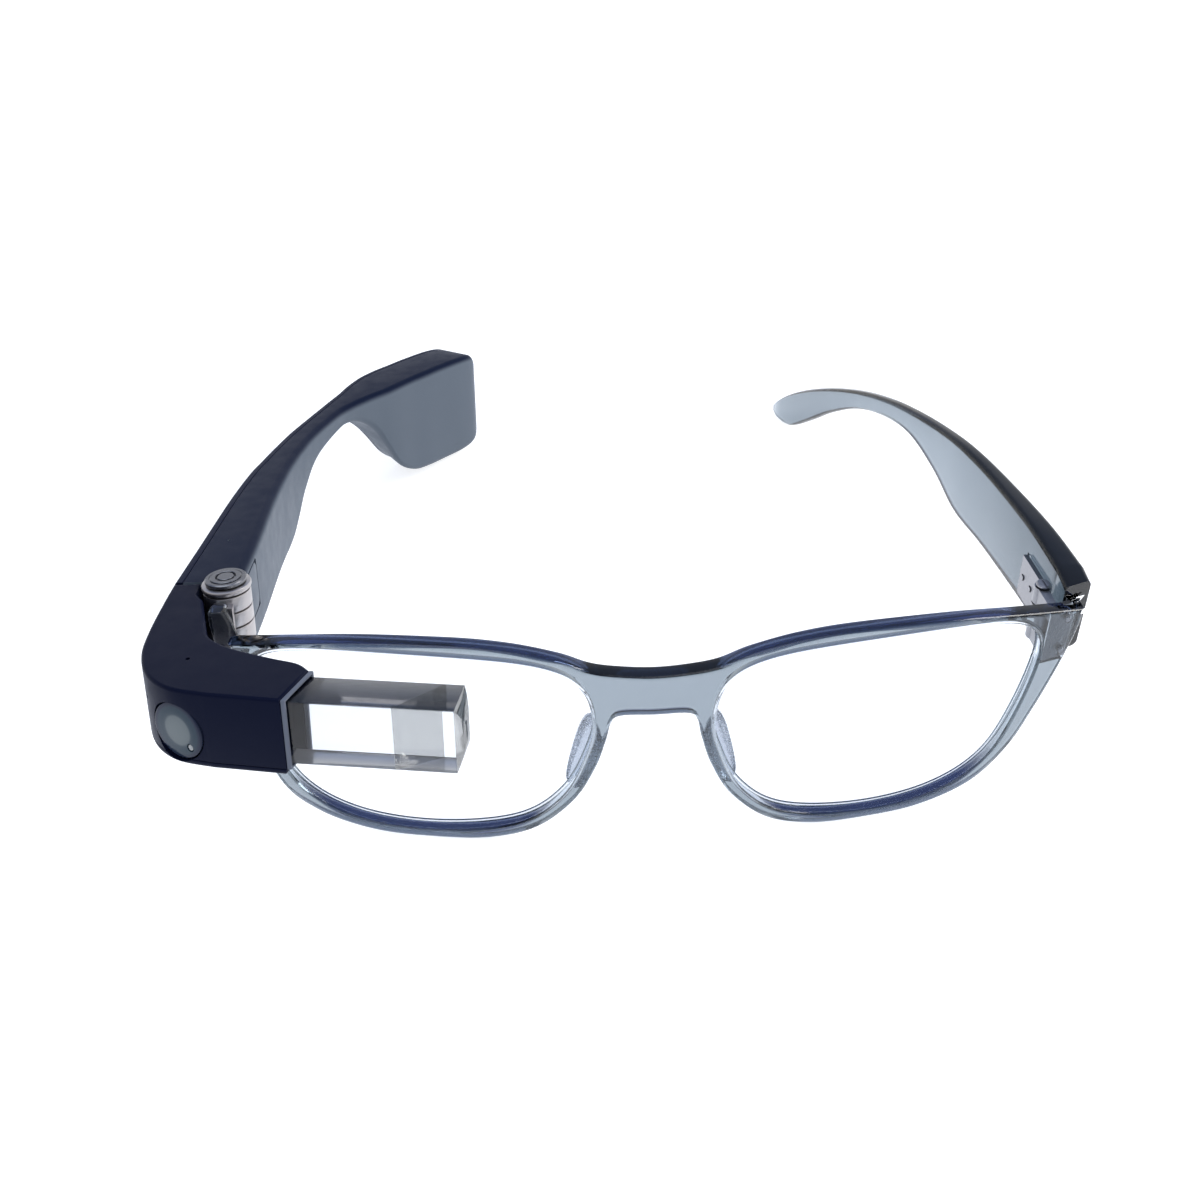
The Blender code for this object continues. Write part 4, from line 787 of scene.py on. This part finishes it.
def build_nose_pad(side, word):
    rings = []
    steps = 24
    for step in range(steps + 1):
        t = -math.cos(math.pi * step / steps)
        z = -3.6 + 7.2 * t
        bulge = math.sqrt(max(1.0 - (0.995 * t) ** 2, 0.0))
        half_width = 0.1 + 2.1 * bulge
        depth = 0.1 + 3.0 * bulge
        centre_x = 10.4 + 0.11 * (z + 3.6) ** 2 / 7.2 - 0.22 * (z + 3.6)
        ring = []
        for k in range(25):
            angle = math.pi * k / 24
            x = centre_x + half_width * math.cos(angle)
            ring.append((side * x, back_face(x, z) + GAP + depth * math.sin(angle), z))
        rings.append(ring)
    pad = loft("soft_nose_pad_" + word, rings)
    place(pad, DRAWING, "front", SILICONE, ["nose_pad_" + word], 60.0)


def build_temple():
    rings = []
    stations = smooth_path(TEMPLE_STATIONS, steps=8)
    for index, (y, x, thickness, top, bottom) in enumerate(stations):
        ahead = stations[min(index + 1, len(stations) - 1)]
        behind = stations[max(index - 1, 0)]
        slope = (ahead[1] - behind[1]) / (ahead[0] - behind[0])
        radius = min(TEMPLE_ROUND, 0.42 * thickness)
        ring = rounded_rectangle(-thickness / 2, thickness / 2, bottom, top, radius, radius)
        rings.append([(x + across, y - across * slope, z) for across, z in ring])
    end_ring = [(x, back_face(x, z) + GAP + 0.1, 0.93 * (z - 11.0) + 10.8) for x, _, z in rings[0]]
    temple = loft("clear_temple", [end_ring] + rings)
    leaf_x, leaf_y, leaf_z = TEMPLE_LEAF_SIZE
    pocket = box("leaf_pocket", (leaf_x + 1.6, leaf_y + 2 * GAP, leaf_z + 2 * GAP),
                 TEMPLE_LEAF_AT + Vector((GAP - 0.8, 0, 0)))
    relief = rod("knuckle_relief", LEFT_KNUCKLE_RADIUS + 0.5, LEFT_HINGE + Vector((0, 0, 3.0)),
                 LEFT_HINGE + Vector((0, 0, 20.0)))
    web_relief = box("web_relief", (3.0, 5.2, 4.2), LEFT_HINGE + Vector((0.6, 2.0, 10.4)))
    cut(temple, pocket, relief, web_relief)
    x, y, z = TEMPLE_LEAF_AT
    for along in (y - 0.2, y + 3.0):
        cut(temple, rod("rivet_hole", RIVET_HOLE_RADIUS, (x - 1.6, along, z), (x + 3.0, along, z), 24))
    place(temple, DRAWING, "temple", CRYSTAL_TEMPLE, ["temple_left"], 32.0)


# --- Pod hinge -----------------------------------------------------------------------------------
def build_pod_hinge():
    edge = CAP_RADIUS
    cap = turned("hinge_cap", [(0, 0), (1.15, 0), (1.22, -0.06), (1.22, -0.4), (1.55, -0.4),
                               (1.55, -0.06), (1.62, 0), (2.25, 0), (2.32, -0.06), (2.32, -0.24),
                               (2.5, -0.24), (2.5, -0.14), (edge - 0.15, -0.14), (edge, -0.28),
                               (edge, -0.7), (edge - 0.05, -0.75), (0, -0.75)])
    place(cap, POD_AXES, "front", CAP_STEEL, ["pod_hinge_cap"], 25.0)
    flange = turned("hinge_flange", [(0, -1.0), (3.45, -1.0), (3.62, -1.07), (FLANGE_RADIUS, -1.25),
                                     (FLANGE_RADIUS, -1.65), (3.62, -1.85), (3.45, -1.95),
                                     (0, -1.95)])
    place(flange, POD_AXES, "front", BARREL_STEEL, ["pod_hinge_flange"], 25.0)

    leaf_top = POD_LEAF_AT[2] + POD_LEAF_SIZE[2] / 2
    leaf = box("fixed_hinge_leaf", POD_LEAF_SIZE, POD_LEAF_AT)
    for bottom, top in (KNUCKLES[0], KNUCKLES[2]):
        barrel = bevel(rod("barrel", KNUCKLE_RADIUS, (0, 0, bottom), (0, 0, top), 96), 0.12, 2)
        web_top = min(top, leaf_top)
        web = box("web", (*POD_WEB_SIZE, web_top - bottom),
                  (POD_LEAF_AT[0], POD_WEB_Y, (web_top + bottom) / 2))
        join(leaf, web, barrel)
    cut(leaf, rod("bore", POD_PIN_RADIUS + GAP / 2, (0, 0, -12.0), (0, 0, -1.0), 32))
    place(leaf, POD_AXES, "front", BARREL_STEEL, ["pod_hinge_frame_leaf"], 25.0)

    bottom, top = KNUCKLES[1]
    arm_leaf = box("moving_hinge_leaf", ARM_LEAF_SIZE, ARM_LEAF_AT)
    barrel = bevel(rod("barrel", KNUCKLE_RADIUS, (0, 0, bottom), (0, 0, top), 96), 0.12, 2)
    web = box("web", (*ARM_WEB_SIZE, top - bottom), (*ARM_WEB_AT, (top + bottom) / 2))
    join(arm_leaf, web, barrel)
    cut(arm_leaf, rod("bore", POD_PIN_RADIUS + GAP / 2, (0, 0, -9.0), (0, 0, -4.0), 32))
    place(arm_leaf, POD_AXES, "pod_arm", BARREL_STEEL, ["pod_hinge_arm_leaf"], 25.0)


# --- Pod arm -------------------------------------------------------------------------------------
def arm_stations(first=0, last=None, steps=ARM_STEPS):
    stations = smooth_path(ARM_STATIONS, steps=steps)
    end = None if last is None else last * steps + 1
    return stations[first * steps:end]


def arm_ring(station, side_from, side_to, round_outer, round_inner):
    x, y, heading, width, top, bottom, lift = station
    heading = math.radians(heading)
    start = -width / 2 + side_from
    end = width / 2 if side_to is None else -width / 2 + side_to
    ring = []
    for across, z in rounded_rectangle(start, end, bottom, top, round_outer, round_inner):
        if z < (top + bottom) / 2:
            z += lift * (0.5 - across / width)
        ring.append((x + across * math.cos(heading), y - across * math.sin(heading), z))
    return ring


def battery_box(name, layout):
    """A block in the battery pod, from its size and its place off the middle of the pod."""
    size, (along, across, up) = layout
    sideways = Vector((BUTTON_AXIS.y, -BUTTON_AXIS.x, 0))
    centre = BATTERY_AT + BUTTON_AXIS * along + sideways * across + Vector((0, 0, up))
    return box(name, size, centre, -BATTERY_HEADING)


def neck_strip(name, side_from, side_to, height):
    rings = []
    for x, y, heading, width, _, _, _ in arm_stations(3, 13, steps=1):
        heading = math.radians(heading)
        ring = []
        for side, up in ((side_from, -1), (side_to, -1), (side_to, 1), (side_from, 1)):
            across = side - width / 2
            ring.append((x + across * math.cos(heading), y - across * math.sin(heading),
                         NECK_STRIP_HEIGHT + up * height / 2))
        rings.append(ring)
    return loft(name, rings)


def display_barrel(name, radius, bottom, top):
    x, y = DISPLAY_PIVOT
    return rod(name, radius, (x, y, bottom), (x, y, top), 48)


def build_arm():
    rings = [arm_ring(station, SKIN + GAP, None, 0.12, min(ARM_ROUND, 0.3 * station[3]))
             for station in arm_stations()]
    shell = loft("arm_body", rings)
    bottom, top = DISPLAY_BARREL
    cut(shell,
        rod("scallop", HINGE_CLEARANCE_RADIUS, (0, 0, -20.0), (0, 0, 1.0), 96),
        box("leaf_pocket", ARM_LEAF_POCKET_SIZE, ARM_LEAF_POCKET_AT),
        box("board_pocket", BOARD_POCKET_SIZE, BOARD_POCKET_AT),
        battery_box("battery_pocket", BATTERY_POCKET),
        neck_strip("cable_channel", 0.9, 2.6, 2.2),
        battery_box("sound_slit", SOUND_SLIT),
        battery_box("usb_opening", USB_OPENING),
        rod("button_opening", BUTTON_RADIUS + GAP, BUTTON_BASE - BUTTON_AXIS * 4.5,
            BUTTON_BASE + BUTTON_AXIS * 4.0, 48),
        rod("mic_port", 0.3, (-3.7, 15.8, -4.2), (-3.7, 15.8, 0.0), 16),
        display_barrel("socket", DISPLAY_BARREL_RADIUS + GAP, bottom - GAP, top + GAP),
        display_barrel("pin_seat", DISPLAY_PIN_RADIUS + GAP / 2, bottom - 2.0, top + 1.2))
    place(shell, POD_AXES, "pod_arm", POD_PLASTIC, ["arm_shell"])

    touch = loft("touch_surface", [arm_ring(station, 0.0, SKIN + 0.2, 0.42, 0.1)
                                   for station in arm_stations(0, TOUCHPAD_STATIONS)])
    place(touch, POD_AXES, "pod_arm", TOUCH_PLASTIC, ["touchpad_cover"])
    rear_rings = [arm_ring(station, 0.0, SKIN + 0.2, 0.42, 0.1)
                  for station in arm_stations(TOUCHPAD_STATIONS)]
    heading = math.radians(ARM_STATIONS[TOUCHPAD_STATIONS][2])
    rear_rings[0] = [(x + 0.15 * math.sin(heading), y + 0.15 * math.cos(heading), z)
                     for x, y, z in rear_rings[0]]
    rear = loft("battery_skin", rear_rings)
    place(rear, POD_AXES, "pod_arm", TOUCH_PLASTIC, ["battery_cover"])

    cover = hinge_cover()
    place(cover, POD_AXES, "pod_arm", POD_PLASTIC, ["hinge_cover_plate"])

    button = rod("side_button", BUTTON_RADIUS, BUTTON_BASE - BUTTON_AXIS * 2.1,
                 BUTTON_BASE + BUTTON_AXIS * 2.9)
    bevel(button, 0.35)
    place(button, POD_AXES, "button", TOUCH_PLASTIC, ["power_button"])


def hinge_cover():
    """Thin round-cornered plate let into the arm's inner side."""
    thickness, length, height = HINGE_COVER_SIZE
    outline = rounded_rectangle(-length / 2, length / 2, -height / 2, height / 2, 1.6, 1.6)
    item = loft("hinge_cover", [[(x, y, z) for y, z in outline]
                                for x in (-thickness / 2, thickness / 2)])
    bevel(item, 0.12, 2)
    item.data.transform(Matrix.Translation(HINGE_COVER_AT)
                        @ Matrix.Rotation(HINGE_COVER_YAW, 4, "Z"))
    return item


# --- Display housing -----------------------------------------------------------------------------
def housing_outline():
    outer = smooth_path(HOUSING_OUTLINE[:-1], steps=8) + [HOUSING_OUTLINE[-1]]
    return outer + smooth_path(HOUSING_BACK, steps=8) + HOUSING_SEAM


def drop_underside(item):
    start, end = HOUSING_SLOPE_Y
    for vert in item.data.vertices:
        x, y, z = vert.co
        if z < HOUSING_BASE / 2:
            t = min(max((y - start) / (end - start), 0.0), 1.0)
            vert.co.z = z - HOUSING_DROP * t
    return item


def camera_disc(name, radius, inner, outer, sides=96):
    return rod(name, radius, CAMERA_WINDOW_AT + CAMERA_AXIS * inner,
               CAMERA_WINDOW_AT + CAMERA_AXIS * outer, sides)


def led_rod(name, radius, inner, outer):
    at = CAMERA_WINDOW_AT + CAMERA_SIDE * LED_OFFSET[0] + Vector((0, 0, LED_OFFSET[1]))
    return rod(name, radius, at + CAMERA_AXIS * inner, at + CAMERA_AXIS * outer, 32)


def prism_point(along, across, up):
    direction = Vector((math.cos(PRISM_YAW), math.sin(PRISM_YAW), 0))
    sideways = Vector((-math.sin(PRISM_YAW), math.cos(PRISM_YAW), 0))
    start = Vector((*PRISM_START, PRISM_TOP - PRISM_HEIGHT / 2))
    return start + direction * along + sideways * across + Vector((0, 0, up))


def prism_section(along_front, along_back, grow=0.0):
    half_depth = PRISM_DEPTH / 2 + grow
    half_height = PRISM_HEIGHT / 2 + grow
    return [prism_point(along_front, -half_depth, -half_height),
            prism_point(along_front, -half_depth, half_height),
            prism_point(along_back, half_depth, half_height),
            prism_point(along_back, half_depth, -half_height)]


def prism_space(name, start, end, grow):
    return loft(name, [prism_section(start, start, grow), prism_section(end, end, grow)])


def build_housing():
    outline = housing_outline()
    shell = rounded_plate("display_shell", outline, [], HOUSING_BASE + SKIN + 0.08, POD_TOP, 0.08, 0.45)
    drop_underside(shell)
    inner = [point for point in inset(turn_left_side_in(outline), 1.5) if point[1] < -6.5]
    cut(shell, rounded_plate("cavity", inner, [], HOUSING_BASE - 1.0, POD_TOP - 1.1, 0.1, 0.1))
    cut(shell, prism_space("prism_mouth", -3.0, 8.0, MOUTH_CLEARANCE))
    cut(shell, camera_disc("window_seat", CAMERA_WINDOW_RADIUS + 0.1, -0.95, 3.0))
    cut(shell, camera_disc("lens_opening", 3.2, -5.0, 1.0))
    cut(shell, rod("front_mic_port", 0.32, (0.35, -21.2, -4.0), (0.35, -21.2, 0.0), 16))
    cut(shell, rod("side_mic_port", 0.32, (-3.0, -22.5, -5.6), (-9.0, -26.0, -5.6), 16))
    join(shell, display_barrel("barrel", DISPLAY_BARREL_RADIUS, *DISPLAY_BARREL))
    cut(shell, display_barrel("bore", DISPLAY_PIN_RADIUS + GAP / 2, -20.0, 2.0))
    place(shell, POD_AXES, "display", HOUSING_PLASTIC, ["display_housing"])

    base = rounded_plate("housing_floor", inset(turn_left_side_in(outline), 0.02), [], HOUSING_BASE,
                         HOUSING_BASE + SKIN, 0.7, 0.05)
    drop_underside(base)
    cut(base, display_barrel("base_bore", DISPLAY_BARREL_RADIUS + GAP, -20.0, 2.0),
        camera_disc("base_window_seat", CAMERA_WINDOW_RADIUS + 0.1, -0.95, 3.0))
    place(base, POD_AXES, "display", HOUSING_PLASTIC, ["housing_base_cover"])

    front_along, back_along = HOUSING_END_ALONG
    bezel = loft("prism_collar", [prism_section(front_along + shift, back_along + shift, BEZEL_WIDTH)
                                  for shift in (0.05, GAP / 2 + BEZEL_THICKNESS)])
    cut(bezel, prism_space("collar_hole", -1.0, 5.0, MOUTH_CLEARANCE))
    bevel(bezel, 0.1, 2)
    # The collar's pale grey is a painted highlight on the housing's end.
    place(bezel, POD_AXES, "display", HIGHLIGHT_BEZEL_PLASTIC, ["prism_bezel"])

    window = camera_disc("camera_glass", CAMERA_WINDOW_RADIUS - 0.1, -0.6, 0.15)
    bevel(window, 0.2)
    cut(window, led_rod("led_hole", 0.6, -2.0, 2.0))
    outside = POD_AXES @ (CAMERA_WINDOW_AT + CAMERA_AXIS * 0.15)
    place(window, POD_AXES, "display",
          window_look(outside, CAMERA_WINDOW_RADIUS * MM), ["camera_window"])
    led = bevel(led_rod("recording_light", 0.45, -0.9, 0.1), 0.1, 2)
    place(led, POD_AXES, "display", LED, ["capture_led"])


def prism_ring(along, share=1.0, grow=0.0):
    """The prism's rounded section, shrunk by a share for its domed end."""
    half_depth = PRISM_DEPTH / 2 + grow
    half_height = PRISM_HEIGHT / 2 + grow
    return [prism_point(along, across * share, up * share) for across, up in
            rounded_rectangle(-half_depth, half_depth, -half_height, half_height, 0.15, 0.15, 3)]


def dome_rings(lift):
    """Rings from the prism's end face over its shallow dome, lifted off the glass."""
    rings = []
    for step in range(10):
        share = math.cos(math.pi / 2 * step / 10)
        along = PRISM_LENGTH + GAP + PRISM_DOME * (1.0 - share ** 2.2)
        rings.append(prism_ring(along + lift, share))
    return rings


def build_prism():
    """One cemented glass bar with the slanted coating inside it and a domed mirror on its end."""
    glass = loft("prism_glass", [prism_ring(-PRISM_TUCK), prism_ring(PAINTED_SHADE_END)] + dome_rings(0.0))
    place(glass, POD_AXES, "display", PRISM_GLASS,
          ["prism_inner_block", "prism_outer_block"], 50.0)
    glass.data.materials.append(PRISM_TOP_SHADE_GLASS)
    glass.data.materials.append(PRISM_FOOT_REFLECTION_GLASS)
    glass.data.materials.append(HOUSING_PLASTIC)
    # The glass tucked into the housing takes the housing's black plastic: painted shade for the dark
    # recess.
    painted_shade_to = (POD_AXES @ prism_point(PAINTED_SHADE_END, 0.0, 0.0)).x
    for face in glass.data.polygons:
        if face.center.x < painted_shade_to:
            face.material_index = 3
        # Top faces: painted shade; bottom faces: painted reflection.
        elif abs(face.normal.z) > 0.8:
            face.material_index = 1 if face.normal.z > 0 else 2
    back_cut = SPLITTER_AT + SPLITTER_RUN
    film = loft("splitter_film", [prism_section(SPLITTER_AT + GAP + shift, back_cut + GAP + shift, -0.05)
                                  for shift in (0.0, 0.05)])
    place(film, POD_AXES, "display", SPLITTER_FILM, ["prism_splitter"])
    mirror = loft("domed_end_mirror", list(reversed(dome_rings(0.02))) + dome_rings(0.05))
    place(mirror, POD_AXES, "display", END_MIRROR, ["prism_end_mirror"], 40.0)


# --- CAD nodes that keep their own mesh ----------------------------------------------------------
def dress_cad_nodes():
    looks = {"main_board": BOARD, "camera_board": BOARD, "battery_cell": FOIL, "touch_sensor": FLEX,
             "battery_cable": FLEX, "usb_port": STEEL, "pod_hinge_pin": STEEL,
             "display_pivot_pin": STEEL}
    for name in frame["nodes"]:
        if name.startswith("left_hinge"):
            looks[name] = STEEL
    for name in ("processor", "speaker", "arm_microphone", "camera_module", "display_engine",
                 "front_microphone", "side_microphone"):
        looks[name] = CHIP
    for name, look in looks.items():
        for slot in frame["nodes"][name].material_slots:
            slot.material = look


# --- Stage ---------------------------------------------------------------------------------------
def area_light(name, position, target, size, power, colour=(1, 1, 1)):
    light = bpy.data.lights.new(name, "AREA")
    light.shape = "RECTANGLE"
    light.size = size[0]
    light.size_y = size[1]
    light.energy = power
    light.color = colour
    item = bpy.data.objects.new(name, light)
    bpy.context.scene.collection.objects.link(item)
    item.location = position
    item.rotation_euler = (Vector(target) - Vector(position)).to_track_quat("-Z", "Y").to_euler()


def build_stage():
    shape = bmesh.new()
    bmesh.ops.create_grid(shape, x_segments=8, y_segments=8, size=4.0)
    floor = make_object("studio_floor", shape, recalc=False)
    floor.location.z = CAD_BOX[0][2] - FLOOR_CLEARANCE * MM
    floor.data.materials.append(floor_look())

    world = bpy.data.worlds.new("studio")
    bpy.context.scene.world = world
    world.use_nodes = True
    tree = world.node_tree
    height = add(tree, "SeparateXYZ", {0: add(tree, "TexCoord").outputs["Generated"]}).outputs["Z"]
    sky = add(tree, "ValToRGB", {"Fac": height})
    ramp = sky.color_ramp
    ramp.elements[0].position = 0.10
    ramp.elements[0].color = rgba(1.0, 1.0, 1.0)
    ramp.elements[1].position = 0.62
    ramp.elements[1].color = rgba(0.36, 0.44, 0.64)
    tree.links.new(sky.outputs[0], tree.nodes["Background"].inputs["Color"])
    tree.nodes["Background"].inputs["Strength"].default_value = 1.05

    area_light("key", (0.75, 0.05, 0.55), (-0.02, 0.0, 0.02), (0.5, 0.5), 7.0, (1.0, 0.97, 0.93))
    area_light("fill", (-0.2, -0.3, 0.9), (0, 0, 0), (0.8, 0.8), 3.0, (0.92, 0.96, 1.0))


def build_camera():
    """The camera stands in front of the wearer's right, a little above, and looks down."""
    data = bpy.data.cameras.new("camera")
    data.sensor_width = 36.0
    data.lens = 34.73
    data.shift_x = -0.0165
    data.shift_y = -0.1997
    data.clip_start = 0.01
    camera = bpy.data.objects.new("camera", data)
    bpy.context.scene.collection.objects.link(camera)
    camera.location = DRAWING @ Vector((-12.83, -132.06, 130.65))
    camera.rotation_euler = (math.radians(90.0 - 26.16), 0.0, math.radians(-3.29))
    bpy.context.scene.camera = camera


build_front()
build_temple()
build_pod_hinge()
build_arm()
build_housing()
build_prism()
dress_cad_nodes()
build_stage()
build_camera()
bpy.context.scene.view_settings.view_transform = "Standard"
